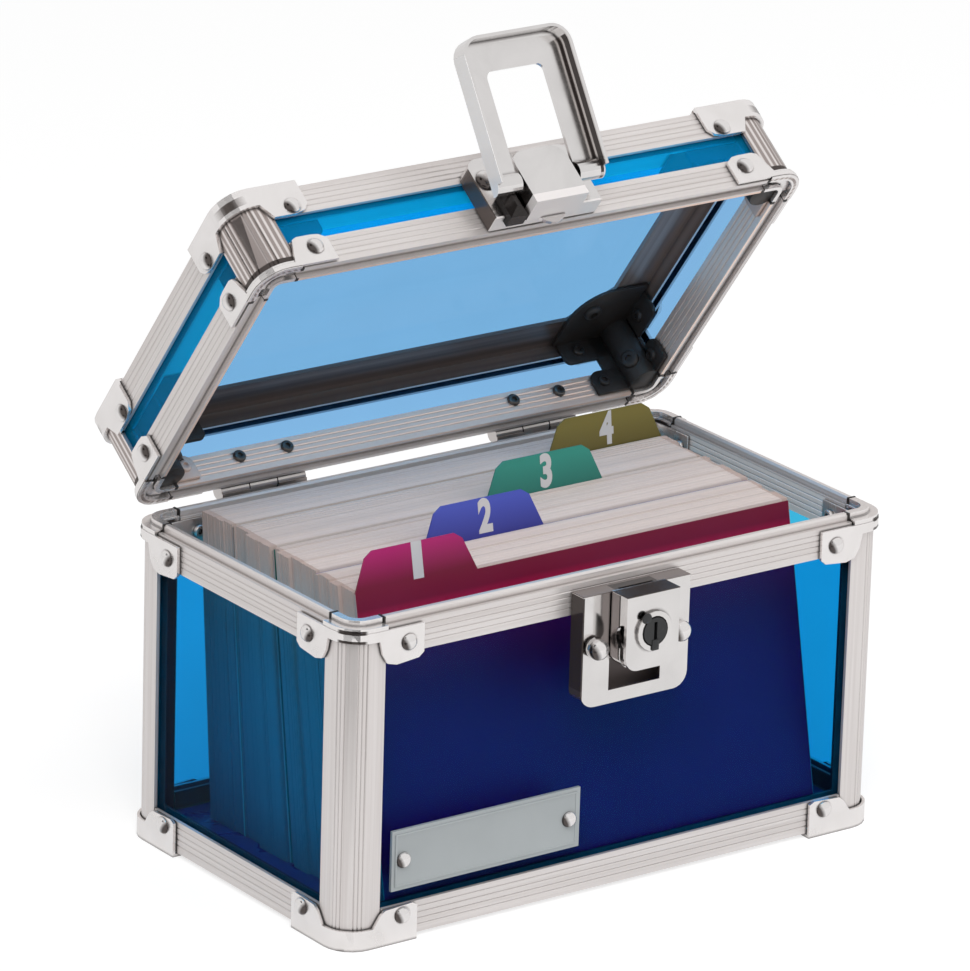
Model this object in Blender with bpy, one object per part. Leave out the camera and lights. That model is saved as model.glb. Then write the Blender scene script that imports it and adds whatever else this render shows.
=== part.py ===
"""Lockable index card box: blue plastic panels in an aluminium frame with riveted steel corner caps.

The frame has the origin at the centre of the bottom panel's underside, +Z up, the lock on the -Y side.
Lengths are metres. The lid stands open at LID_REST, and the hasp loop is flipped up by HASP_REST.
"""

import bmesh
import bpy
from math import cos, pi, radians, sin
from mathutils import Matrix, Vector

# Index cards, the stack that they stand in, and their tabbed dividers
CARD_WIDTH = 0.1270
CARD_HEIGHT = 0.0762
STACK_LENGTH = 0.0722
CARD_SHIFT = 0.0005
CARD_LEAN_FRONT = radians(11.5)
CARD_LEAN_REAR = radians(4.8)
DIVIDER_SHARES = (0.0, 0.25, 0.53, 0.80)
DIVIDER_THICK = 0.0004
TAB_HEIGHT = 0.0096
TAB_TOP_WIDTH = 0.0263
TAB_SIDE_RUN = 0.0043
TAB_CORNER = 0.0015

# Driving sizes of the box, which leaves these spaces between the stack and its outer faces
SIDE_SPACE = 0.0145
FRONT_SPACE = 0.0047
REAR_SPACE = 0.0131
BOX_WIDTH = CARD_WIDTH + 2 * SIDE_SPACE
BOX_DEPTH = STACK_LENGTH + FRONT_SPACE + REAR_SPACE
FACE_TOP = 0.0781
LID_GAP = 0.0009
LID_HEIGHT = 0.0224
CORNER_RADIUS = 0.0065
CLEAR = 0.0003
OVERRUN = 0.002
WELD = 0.000001
ARC_STEPS = 6

# Corner posts
POST_LEG = 0.010
POST_THICK = 0.0042
POST_GROOVE_SHARES = (0.14, 0.24, 0.34, 0.66, 0.76, 0.86)

# Rails, the slots for the panels and the fine grooves on their faces
RAIL_THICK = 0.0042
BOTTOM_RAIL_HEIGHT = 0.0080
RIM_FACE_HEIGHT = 0.0075
LID_RAIL_HEIGHT = 0.0075
SLOT_DEPTH = 0.0025
GROOVE_COUNT = 4
GROOVE_WIDTH = 0.0005
GROOVE_DEPTH = 0.00018
GROOVE_BAND_SHARES = (0.24, 0.80)

# Tongue on the box rim and the channel in the lid that takes it
TONGUE_INSET = 0.0014
TONGUE_THICK = 0.0020
TONGUE_HEIGHT = 0.0018
LIP_THICK = 0.0011

# Flange inside the lid's top rails, under the top panel
LEDGE_REACH = 0.0145
LEDGE_THICK = 0.0010
LEDGE_RISE = 0.0040

# Panels
PANEL_THICK = 0.0019
PANEL_RECESS = 0.0012
BOTTOM_THICK = 0.0030
BOTTOM_TONGUE = 0.0018
BOTTOM_TONGUE_RISE = 0.0012
TOP_PANEL_THICK = 0.0015

# Corner caps and their rivets; the free edge of each flap runs through shares of its leg and its height
CAP_THICK = 0.0008
CAP_LEG = 0.0200
CAP_FLOOR_CUT = 0.0080
FOOT_CAP_TOP = 0.0083
TOP_CAP_LOW = 0.0686
TOP_CAP_HIGH = 0.0775
TOP_CAP_BAND = 0.0009
TOP_CAP_SHELF = 0.0769
TOP_CAP_SHELF_THICK = 0.0017
LID_TOP_CAP_DROP = 0.0080
LID_RIM_CAP_RISE = 0.0080
FOOT_FLAP_SHARES = ((1.0, 0.92), (0.93, 1.0), (0.55, 0.95), (0.48, 0.84), (0.38, 0.53))
TOP_FLAP_SHARES = ((1.0, 0.80), (0.93, 0.93), (0.62, 1.0), (0.49, 0.92), (0.42, 0.66), (0.38, 0.28))
LID_TOP_FLAP_SHARES = ((1.0, 0.74), (0.93, 0.92), (0.80, 1.0), (0.49, 1.0), (0.38, 0.56))
LID_RIM_FLAP_SHARES = ((1.0, 0.80), (0.90, 0.97), (0.80, 1.0), (0.60, 1.0), (0.53, 0.92), (0.42, 0.14))
RIVET_INSET = 0.0157
RIVET_RADIUS = 0.0019
RIVET_HEIGHT = 0.0013
RIVET_SEGMENTS = 12
FOOT_RIVET_Z = 0.0058
TOP_RIVET_Z = 0.0736
LID_TOP_RIVET_DROP = 0.0057
LID_RIM_RIVET_RISE = 0.0047

# Name plate, left without lettering
NAME_PLATE_INSET = 0.0132
NAME_PLATE_WIDTH = 0.0540
NAME_PLATE_LOW = 0.0116
NAME_PLATE_HEIGHT = 0.0150
NAME_PLATE_THICK = 0.0008
NAME_RIVET_INSET = 0.0032

# Lid hinge
HINGE_OUT = 0.0026
HINGE_RISE = 0.0008
LID_REST = radians(53.5)
HINGE_INSET = 0.0375
HINGE_WIDTH = 0.0244
HINGE_LEAF_THICK = 0.0008
HINGE_LEAF_HEIGHT = 0.0070
KNUCKLE_RADIUS = 0.0019
KNUCKLE_WIDTH = 0.0078
PIN_RADIUS = 0.0008
ROUND_SEGMENTS = 20

# Sheet steel shells of the lock and the latch
SHEET = 0.0008
LOCK_WIDTH = 0.0312
LOCK_LOW = 0.0485
LOCK_HIGH = 0.0766
LOCK_DEPTH = 0.0050
LOCK_CORNER = 0.0040
LOCK_RIVET_X = 0.0120
LOCK_RIVET_Z = 0.0635
LOCK_RIVET_RADIUS = 0.0024
LOCK_RIVET_HEIGHT = 0.0019
WINDOW_WIDTH = 0.0150
WINDOW_LOW = 0.0519
WINDOW_HIGH = 0.0600
HOUSING_WIDTH = 0.0153
HOUSING_LOW = 0.0582
HOUSING_HIGH = 0.0769
HOUSING_DEPTH = 0.0065
HOUSING_CORNER = 0.0035
HOUSING_WALL = 0.0010
LOCK_TRAVEL = 0.0050
SIDE_HOLE_RADIUS = 0.0032
SIDE_HOLE_Z = 0.0664
PLUG_Z = 0.0676
PLUG_RADIUS = 0.0034
PLUG_PROUD = 0.0011
PLUG_LENGTH = 0.0056
RING_RADIUS = 0.0049
RING_PROUD = 0.0009
KEYWAY_WIDTH = 0.0009
KEYWAY_HEIGHT = 0.0046
KEYWAY_DEPTH = 0.0030
CAM_LENGTH = 0.0052
CAM_WIDTH = 0.0034
CAM_THICK = 0.0010

# Latch on the lid
LATCH_WIDTH = 0.0308
LATCH_RISE = 0.0003
LATCH_HEIGHT = 0.0175
LATCH_RIVET_RISE = 0.0113
TAB_RADIUS = 0.0042
TAB_SLOT_WIDTH = 0.0098
TAB_SLOT_DEPTH = 0.0021
COVER_WIDTH = 0.0150
COVER_DROP = 0.0014
COVER_HEIGHT = 0.0150
COVER_DEPTH = 0.0067
COVER_CORNER = 0.0040
HASP_OUT = 0.0098
HASP_RISE = 0.0060
HASP_REST = radians(158)
HASP_LENGTH = 0.0353
HASP_WIDTH = 0.0310
HASP_BAR = 0.0081
HASP_OPENING = 0.0166
HASP_CORNER = 0.0050
HASP_OPENING_CORNER = 0.0020
HASP_SHEET = 0.0009
HASP_FACE = 0.0005
HASP_FLANGE = 0.0049
EAR_RADIUS = 0.0025
HASP_PIN_RADIUS = 0.0010

LID_BOTTOM = FACE_TOP + LID_GAP
LID_RAIL_SPLIT = LID_HEIGHT - LID_RAIL_HEIGHT
HINGE_Y = BOX_DEPTH / 2 + HINGE_OUT
HINGE_Z = LID_BOTTOM + HINGE_RISE
LID_RIM_THICK = TONGUE_INSET + TONGUE_THICK + CLEAR + LIP_THICK
HINGE_X = BOX_WIDTH / 2 - HINGE_INSET
FRONT = -BOX_DEPTH / 2
LOCK_FRONT = FRONT - LOCK_DEPTH
SIDES = ("front", "right", "rear", "left")
CORNERS = ("front_left", "front_right", "rear_right", "rear_left")
ALONG_RAIL = Matrix(((0, 0, 1, 0), (1, 0, 0, 0), (0, 1, 0, 0), (0, 0, 0, 1)))
FACING_FRONT = Matrix.Rotation(pi / 2, 4, "X")
ALONG_X = Matrix.Rotation(pi / 2, 4, "Y")


# Scene

def clear_scene():
    for obj in list(bpy.data.objects):
        bpy.data.objects.remove(obj)


def new_collection(name):
    collection = bpy.data.collections.new(name)
    bpy.context.scene.collection.children.link(collection)
    return collection


def material(name, colour, roughness, metallic, transmission=0.0):
    made = bpy.data.materials.new(name)
    made.use_nodes = True
    surface = made.node_tree.nodes["Principled BSDF"]
    surface.inputs["Base Color"].default_value = (*colour, 1.0)
    surface.inputs["Roughness"].default_value = roughness
    surface.inputs["Metallic"].default_value = metallic
    surface.inputs["Transmission Weight"].default_value = transmission
    made.diffuse_color = (*colour, 1.0)
    return made


def frame_point(name, location, turn, parent=None):
    empty = bpy.data.objects.new(name, None)
    PARTS.objects.link(empty)
    empty.location = location
    empty.rotation_euler = (turn, 0, 0)
    empty.parent = parent
    return empty


def node(name, mesh, finish, parent, location=(0, 0, 0), turn=0.0):
    """One named piece, turned about Z, with its own material."""
    obj = bpy.data.objects.new(name, mesh)
    PARTS.objects.link(obj)
    obj.location = location
    obj.rotation_euler = (0, 0, turn)
    obj.parent = parent
    if not mesh.materials:
        mesh.materials.append(finish)
    mesh.shade_smooth()
    mesh.set_sharp_from_angle(angle=radians(35))
    return obj


# Shapes

def to_mesh(name, bm):
    bmesh.ops.recalc_face_normals(bm, faces=bm.faces)
    mesh = bpy.data.meshes.new(name)
    bm.to_mesh(mesh)
    bm.free()
    return mesh


def moved(mesh, matrix):
    mesh.transform(matrix)
    return mesh


def shifted(mesh, x=0.0, y=0.0, z=0.0):
    return moved(mesh, Matrix.Translation((x, y, z)))


def box(x, y, z):
    """A block between the two ends given on each axis."""
    bm = bmesh.new()
    bmesh.ops.create_cube(bm, size=1)
    size = Vector((x[1] - x[0], y[1] - y[0], z[1] - z[0]))
    middle = Vector((x[0] + x[1], y[0] + y[1], z[0] + z[1])) / 2
    bmesh.ops.scale(bm, vec=size, verts=bm.verts)
    bmesh.ops.translate(bm, vec=middle, verts=bm.verts)
    return to_mesh("box", bm)


def cylinder(radius, length, segments=ROUND_SEGMENTS):
    """A cylinder round Z with its middle at the origin."""
    bm = bmesh.new()
    bmesh.ops.create_cone(
        bm, cap_ends=True, segments=segments, radius1=radius, radius2=radius, depth=length
    )
    return to_mesh("cylinder", bm)


def dome(radius, height, sunk):
    """A rivet head: half an ellipsoid that rises along +Z from a short shank below z = 0."""
    bm = bmesh.new()
    bmesh.ops.create_uvsphere(bm, u_segments=RIVET_SEGMENTS, v_segments=RIVET_SEGMENTS // 2, radius=radius)
    cut = bmesh.ops.bisect_plane(
        bm, geom=bm.verts[:] + bm.edges[:] + bm.faces[:], plane_co=(0, 0, 0), plane_no=(0, 0, -1),
        clear_outer=True,
    )
    rim = [item for item in cut["geom_cut"] if isinstance(item, bmesh.types.BMEdge)]
    bmesh.ops.scale(bm, vec=(1, 1, height / radius), verts=bm.verts)
    skirt = bmesh.ops.extrude_edge_only(bm, edges=rim)["geom"]
    low = [item for item in skirt if isinstance(item, bmesh.types.BMVert)]
    bmesh.ops.translate(bm, vec=(0, 0, -sunk), verts=low)
    bmesh.ops.holes_fill(bm, edges=[edge for edge in bm.edges if edge.is_boundary])
    return to_mesh("dome", bm)


def arc(centre, radius, start, end, steps=ARC_STEPS):
    """Points on an arc, the angles in quarter turns."""
    turns = [start + (end - start) * i / steps for i in range(steps + 1)]
    return [(centre[0] + radius * cos(t * pi / 2), centre[1] + radius * sin(t * pi / 2)) for t in turns]


def extruded(outline, depth):
    """The flat outline, filled and raised from z = 0 to the depth."""
    curve = bpy.data.curves.new("outline", "CURVE")
    curve.dimensions = "2D"
    curve.fill_mode = "BOTH"
    curve.extrude = depth / 2
    spline = curve.splines.new("POLY")
    spline.points.add(len(outline) - 1)
    for point, place in zip(spline.points, outline):
        point.co = (*place, 0, 1)
    spline.use_cyclic_u = True
    guide = bpy.data.objects.new("outline", curve)
    bpy.context.scene.collection.objects.link(guide)
    mesh = evaluated_mesh(guide)
    bpy.data.objects.remove(guide)
    bm = bmesh.new()
    bm.from_mesh(mesh)
    bmesh.ops.remove_doubles(bm, verts=bm.verts, dist=WELD)
    bmesh.ops.translate(bm, vec=(0, 0, depth / 2), verts=bm.verts)
    return to_mesh("extruded", bm)


def evaluated_mesh(obj):
    bpy.context.view_layer.update()
    graph = bpy.context.evaluated_depsgraph_get()
    return bpy.data.meshes.new_from_object(obj.evaluated_get(graph))


def shaped(base, joins=(), cuts=()):
    """The base with the joined shapes added, and then the cut shapes taken away."""
    body = bpy.data.objects.new("shaped", base)
    used = [body]
    steps = [("UNION", mesh) for mesh in joins] + [("DIFFERENCE", mesh) for mesh in cuts]
    for operation, mesh in steps:
        tool = bpy.data.objects.new("tool", mesh)
        modifier = body.modifiers.new(operation, "BOOLEAN")
        modifier.operation = operation
        modifier.solver = "EXACT"
        modifier.object = tool
        used.append(tool)
    for obj in used:
        CUTTERS.objects.link(obj)
    mesh = evaluated_mesh(body)
    for obj in used:
        bpy.data.objects.remove(obj)
    return mesh


# Outlines of the extrusions, as (depth in from the face, height)

def grooved_face(depth, low, high, outward=False):
    """Points up a face with fine grooves, which cut inward on its outside and outward on its inside."""
    points = [(depth, low)]
    span = high - low
    first, last = (low + span * share for share in GROOVE_BAND_SHARES)
    for i in range(GROOVE_COUNT):
        middle = first + (last - first) * i / (GROOVE_COUNT - 1)
        floor = depth - GROOVE_DEPTH if outward else depth + GROOVE_DEPTH
        points += [
            (depth, middle - GROOVE_WIDTH / 2),
            (floor, middle),
            (depth, middle + GROOVE_WIDTH / 2),
        ]
    return points + [(depth, high)]


SLOT_NEAR = PANEL_RECESS - CLEAR
SLOT_FAR = PANEL_RECESS + PANEL_THICK + CLEAR


def slot_points(edge, opens_down=False):
    """A panel slot in the edge of a rail."""
    floor = edge + SLOT_DEPTH if opens_down else edge - SLOT_DEPTH
    return [(SLOT_NEAR, edge), (SLOT_NEAR, floor), (SLOT_FAR, floor), (SLOT_FAR, edge)]


def bottom_rail_outline():
    tongue_low = BOTTOM_TONGUE_RISE - CLEAR
    tongue_high = BOTTOM_TONGUE_RISE + BOTTOM_TONGUE + CLEAR
    inner = RAIL_THICK - SLOT_DEPTH
    return (
        grooved_face(0, 0, BOTTOM_RAIL_HEIGHT)
        + slot_points(BOTTOM_RAIL_HEIGHT)
        + [(RAIL_THICK, BOTTOM_RAIL_HEIGHT), (RAIL_THICK, tongue_high), (inner, tongue_high)]
        + [(inner, tongue_low), (RAIL_THICK, tongue_low), (RAIL_THICK, 0)]
    )


def rim_rail_outline():
    tongue_top = RIM_FACE_HEIGHT + TONGUE_HEIGHT
    tongue_far = TONGUE_INSET + TONGUE_THICK
    rounding = TONGUE_THICK / 4
    return (
        grooved_face(0, 0, RIM_FACE_HEIGHT)
        + [(TONGUE_INSET, RIM_FACE_HEIGHT), (TONGUE_INSET, tongue_top - rounding)]
        + [(TONGUE_INSET + rounding, tongue_top), (tongue_far - rounding, tongue_top)]
        + [(tongue_far, tongue_top - rounding), (tongue_far, RIM_FACE_HEIGHT)]
        + grooved_face(RAIL_THICK, 0, RIM_FACE_HEIGHT, outward=True)[::-1]
        + slot_points(0, opens_down=True)[::-1]
    )


CHANNEL_NEAR = LIP_THICK
CHANNEL_FAR = TONGUE_INSET + TONGUE_THICK + CLEAR
CHANNEL_DEPTH = TONGUE_HEIGHT - LID_GAP + CLEAR


def lid_rim_outline():
    return (
        grooved_face(0, 0, LID_RAIL_HEIGHT)
        + slot_points(LID_RAIL_HEIGHT)
        + grooved_face(LID_RIM_THICK, 0, LID_RAIL_HEIGHT, outward=True)[::-1]
        + [(CHANNEL_FAR, 0), (CHANNEL_FAR, CHANNEL_DEPTH), (CHANNEL_NEAR, CHANNEL_DEPTH), (CHANNEL_NEAR, 0)]
    )


def lid_top_outline():
    return (
        grooved_face(0, 0, LID_RAIL_HEIGHT)
        + [(RAIL_THICK, LID_RAIL_HEIGHT), (RAIL_THICK, 0)]
        + slot_points(0, opens_down=True)[::-1]
    )


def side_span(turn):
    """Length between the posts, and distance from the middle to the face, of the side at this turn."""
    along, across = (BOX_WIDTH, BOX_DEPTH) if turn % 2 == 0 else (BOX_DEPTH, BOX_WIDTH)
    return along - 2 * POST_LEG, across / 2


def side_place(turn, height, hinge=(0, 0, 0)):
    half = side_span(turn)[1]
    place = Matrix.Rotation(turn * pi / 2, 4, "Z") @ Vector((0, -half, height))
    return place - Vector(hinge)


def corner_place(turn, height, hinge=(0, 0, 0)):
    signs = ((-1, -1), (1, -1), (1, 1), (-1, 1))[turn]
    return Vector((signs[0] * BOX_WIDTH / 2, signs[1] * BOX_DEPTH / 2, height)) - Vector(hinge)


def rail(outline, turn):
    """A rail along X, its outer face on y = 0 and its inside toward +Y."""
    length = side_span(turn)[0] - 2 * CLEAR
    return shifted(moved(extruded(outline, length), ALONG_RAIL), x=-length / 2)


def panel(turn, height):
    length = side_span(turn)[0] + 2 * (SLOT_DEPTH - CLEAR)
    face = PANEL_RECESS
    return box((-length / 2, length / 2), (face, face + PANEL_THICK), (0, height))


# Corner pieces: the corner of the outer faces at the origin, one leg along +X and one along +Y

CORNER_CENTRE = (CORNER_RADIUS, CORNER_RADIUS)


def bend(offset):
    """The rounded corner at an offset in from the faces, from the +X leg round to the +Y leg."""
    if offset >= CORNER_RADIUS:
        return [(offset, offset)]
    return arc(CORNER_CENTRE, CORNER_RADIUS - offset, 3, 2)


def corner_band(outer, inner, leg, height):
    """An upright band round the corner, between two offsets in from the faces."""
    outline = [(leg, outer)] + bend(outer) + [(outer, leg), (inner, leg)] + bend(inner)[::-1] + [(leg, inner)]
    return extruded(outline, height)


def post(height):
    """A corner post: rounded outside with fine grooves, and a panel slot in the end of each leg."""
    quarter = bend(0)
    outline = [(POST_LEG, 0), quarter[0]]
    for share in POST_GROOVE_SHARES:
        middle = 3 - share
        half_width = GROOVE_WIDTH / CORNER_RADIUS / pi
        for turn, depth in ((half_width, 0), (0, 1), (-half_width, 0)):
            radius = CORNER_RADIUS - depth * GROOVE_DEPTH
            outline += arc(CORNER_CENTRE, radius, middle + turn, middle + turn, 1)[:1]
    outline += [quarter[-1], (0, POST_LEG)]
    slot = [(POST_LEG, SLOT_NEAR), (POST_LEG - SLOT_DEPTH, SLOT_NEAR)]
    slot += [(POST_LEG - SLOT_DEPTH, SLOT_FAR), (POST_LEG, SLOT_FAR)]
    outline += [(y, x) for x, y in slot]
    outline += [(POST_THICK, POST_LEG), (POST_THICK, POST_THICK), (POST_LEG, POST_THICK)]
    outline += slot[::-1]
    return extruded(outline, height)


def flap_cutters(low, high, shares, free_up):
    """Cutters, one a leg, that take the sheet beyond the free edge of a cap's two flaps."""
    height = high - low
    base, toward = (low, 1) if free_up else (high, -1)
    edge = [(share * CAP_LEG, base + toward * reach * height) for share, reach in shares]
    far = base + toward * (height + 2 * OVERRUN)
    outline = [(CAP_LEG + OVERRUN, far), (CAP_LEG + OVERRUN, edge[0][1])] + edge
    outline += [(-OVERRUN, edge[-1][1]), (-OVERRUN, far)]
    depth = CORNER_RADIUS + OVERRUN
    along_x = shifted(moved(extruded(outline, depth), FACING_FRONT), y=depth - OVERRUN)
    along_y = moved(along_x.copy(), Matrix(((0, 1, 0, 0), (1, 0, 0, 0), (0, 0, 1, 0), (0, 0, 0, 1))))
    along_y.flip_normals()
    return [along_x, along_y]


def cap_rivets(height):
    """The two rivet heads of a cap, one on each flap."""
    face = -CLEAR - CAP_THICK
    heads = []
    for x, y, turn in ((RIVET_INSET, face, 0), (face, RIVET_INSET, -pi / 2)):
        head = dome(RIVET_RADIUS, RIVET_HEIGHT, CAP_THICK / 2)
        moved(head, Matrix.Rotation(turn, 4, "Z") @ FACING_FRONT)
        heads.append(shifted(head, x, y, height))
    return heads


def cap_inside(leg, bonded):
    """The inside of a cap, from the +X leg's end to the +Y leg's end; bonded, it sinks into the post."""
    if not bonded:
        return [(leg, -CLEAR)] + bend(-CLEAR) + [(-CLEAR, leg)]
    near = POST_LEG - CLEAR
    start = [(leg, -CLEAR), (near, -CLEAR), (near, CAP_THICK)]
    return start + bend(CAP_THICK) + [(y, x) for x, y in start[::-1]]


def cap_outside():
    outer = -CLEAR - CAP_THICK
    return [(CAP_LEG, outer)] + bend(outer) + [(outer, CAP_LEG)]


def cap_body(outline, low, high, shares, free_up, hollows):
    """The outline raised past the free edge, hollowed, and then trimmed along that edge."""
    start = low if free_up else low - OVERRUN
    solid = shifted(extruded(outline, high - low + OVERRUN), z=start)
    return shaped(solid, cuts=hollows + flap_cutters(low, high, shares, free_up))


def sheet_cap(low, high, shares, free_up, bonded):
    """Bent sheet round the corner without a floor."""
    outline = cap_outside() + cap_inside(CAP_LEG, bonded)[::-1]
    return cap_body(outline, low, high, shares, free_up, [])


def floored_cap(low, high, shares, free_up, bonded):
    """Bent sheet with a floor across the corner, at the low end or, with the flaps down, at the high end."""
    outline = cap_outside() + [(CAP_FLOOR_CUT, CAP_LEG), (CAP_LEG, CAP_FLOOR_CUT)]
    far = CAP_LEG + OVERRUN
    hollow = extruded(cap_inside(far, bonded) + [(far, far)], high - low + 2 * OVERRUN)
    shifted(hollow, z=low + CAP_THICK if free_up else high - CAP_THICK - (high - low + 2 * OVERRUN))
    return cap_body(outline, low, high, shares, free_up, [hollow])


# Box

def add_posts(box_root):
    mesh = post(TOP_CAP_SHELF - CLEAR)
    for turn, name in enumerate(CORNERS):
        node("post_" + name, mesh, ALUMINIUM, box_root, corner_place(turn, 0), turn * pi / 2)


def add_rails(box_root):
    for turn, name in enumerate(SIDES):
        turned = turn * pi / 2
        low = rail(bottom_rail_outline(), turn)
        rim = rail(rim_rail_outline(), turn)
        node("bottom_rail_" + name, low, ALUMINIUM, box_root, side_place(turn, 0), turned)
        rim_place = side_place(turn, FACE_TOP - RIM_FACE_HEIGHT)
        node("rim_rail_" + name, rim, ALUMINIUM, box_root, rim_place, turned)


def add_panels(box_root):
    low = BOTTOM_RAIL_HEIGHT - SLOT_DEPTH + CLEAR
    high = FACE_TOP - RIM_FACE_HEIGHT + SLOT_DEPTH - CLEAR
    for turn, name in enumerate(SIDES):
        node("panel_" + name, panel(turn, high - low), BLUE, box_root, side_place(turn, low), turn * pi / 2)
    node("panel_bottom", bottom_panel(), BLUE, box_root)


def bottom_panel():
    """The bottom panel: its field is flush below, and a tongue on each side runs in the rails' slots."""
    half_x = BOX_WIDTH / 2 - RAIL_THICK - CLEAR
    half_y = BOX_DEPTH / 2 - RAIL_THICK - CLEAR
    reach = SLOT_DEPTH
    free_x = BOX_WIDTH / 2 - POST_LEG - CLEAR
    free_y = BOX_DEPTH / 2 - POST_LEG - CLEAR
    rise = (BOTTOM_TONGUE_RISE, BOTTOM_TONGUE_RISE + BOTTOM_TONGUE)
    field = box((-half_x, half_x), (-half_y, half_y), (0, BOTTOM_THICK + CLEAR))
    across = box((-half_x - reach, half_x + reach), (-free_y, free_y), rise)
    along = box((-free_x, free_x), (-half_y - reach, half_y + reach), rise)
    return shaped(field, joins=[across, along], cuts=cap_floor_steps())


def cap_floor_steps():
    """Cutters that thin the bottom panel's corners over the floors of the foot caps."""
    reach = CAP_FLOOR_CUT + CAP_LEG + 2 * CLEAR + OVERRUN
    steps = []
    for turn in range(len(CORNERS)):
        step = extruded([(-OVERRUN, -OVERRUN), (reach, -OVERRUN), (-OVERRUN, reach)], CAP_THICK + OVERRUN)
        place = Matrix.Translation(corner_place(turn, -OVERRUN)) @ Matrix.Rotation(turn * pi / 2, 4, "Z")
        steps.append(moved(step, place))
    return steps


def add_caps(box_root):
    low = -CLEAR - CAP_THICK
    foot_sheet = floored_cap(low, FOOT_CAP_TOP, FOOT_FLAP_SHARES, True, False)
    foot = shaped(foot_sheet, joins=cap_rivets(FOOT_RIVET_Z))
    sheet = sheet_cap(TOP_CAP_LOW, TOP_CAP_HIGH, TOP_FLAP_SHARES, False, False)
    shelf = corner_band(-TOP_CAP_BAND, RAIL_THICK, POST_LEG, TOP_CAP_SHELF_THICK)
    shifted(shelf, z=TOP_CAP_SHELF)
    tongue_top = FACE_TOP + TONGUE_HEIGHT
    tongue_low = TOP_CAP_SHELF + CAP_THICK
    tongue_far = TONGUE_INSET + TONGUE_THICK
    tongue = corner_band(TONGUE_INSET, tongue_far, POST_LEG - CLEAR / 2, tongue_top - tongue_low)
    shifted(tongue, z=tongue_low)
    top = shaped(sheet, joins=cap_rivets(TOP_RIVET_Z) + [shelf, tongue])
    for turn, name in enumerate(CORNERS):
        place = corner_place(turn, 0)
        node("foot_cap_" + name, foot, STEEL, box_root, place, turn * pi / 2)
        node("top_cap_" + name, top, STEEL, box_root, place, turn * pi / 2)


def add_name_plate(box_root):
    back = FRONT + PANEL_RECESS - CLEAR
    left = NAME_PLATE_INSET - BOX_WIDTH / 2
    x = (left, left + NAME_PLATE_WIDTH)
    z = (NAME_PLATE_LOW, NAME_PLATE_LOW + NAME_PLATE_HEIGHT)
    plate = box(x, (back - NAME_PLATE_THICK, back), z)
    heads = []
    for across in (x[0] + NAME_RIVET_INSET, x[1] - NAME_RIVET_INSET):
        head = moved(dome(RIVET_RADIUS, RIVET_HEIGHT, NAME_PLATE_THICK / 2), FACING_FRONT)
        heads.append(shifted(head, x=across, y=back - NAME_PLATE_THICK, z=(z[0] + z[1]) / 2))
    node("name_plate", shaped(plate, joins=heads), PLATE_GREY, box_root)


# Lock

def shell_outline(width, low, high, corner, low_rounded, inset=0.0):
    """An upright oblong with the two low or the two high corners rounded, drawn smaller by the inset."""
    half = width / 2 - inset
    low, high, radius = low + inset, high - inset, corner - inset
    if low_rounded:
        right = arc((half - radius, low + radius), radius, 3, 4)
        left = arc((radius - half, low + radius), radius, 2, 3)
        return left + right + [(half, high), (-half, high)]
    right = arc((half - radius, high - radius), radius, 0, 1)
    left = arc((radius - half, high - radius), radius, 1, 2)
    return [(-half, low), (half, low)] + right + left


def pan(width, low, high, corner, low_rounded, back, depth, sheet):
    """A sheet steel pan that opens to the back, with its front face at back - depth."""
    outer = extruded(shell_outline(width, low, high, corner, low_rounded), depth)
    inner = extruded(shell_outline(width, low, high, corner, low_rounded, sheet), depth)
    moved(outer, FACING_FRONT)
    moved(inner, FACING_FRONT)
    shifted(outer, y=back)
    shifted(inner, y=back + sheet)
    return shaped(outer, cuts=[inner])


def rivet_pair(x, z, face, sheet):
    heads = []
    for side in (-1, 1):
        head = moved(dome(LOCK_RIVET_RADIUS, LOCK_RIVET_HEIGHT, sheet / 2), FACING_FRONT)
        heads.append(shifted(head, x=side * x, y=face, z=z))
    return heads


def lock_base():
    back = FRONT - CLEAR
    shell = pan(LOCK_WIDTH, LOCK_LOW, LOCK_HIGH, LOCK_CORNER, True, back, LOCK_DEPTH - CLEAR, SHEET)
    through = (LOCK_FRONT - OVERRUN, LOCK_FRONT + OVERRUN)
    window = box((-WINDOW_WIDTH / 2, WINDOW_WIDTH / 2), through, (WINDOW_LOW, WINDOW_HIGH))
    half = TAB_SLOT_WIDTH / 2
    slot_back = LOCK_FRONT + SHEET + CLEAR
    slot = box((-half, half), (through[0], slot_back), (LOCK_HIGH - TAB_SLOT_DEPTH, LOCK_HIGH + OVERRUN))
    cut = shaped(shell, cuts=[window, slot])
    return shaped(cut, joins=rivet_pair(LOCK_RIVET_X, LOCK_RIVET_Z, LOCK_FRONT, SHEET))


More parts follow.
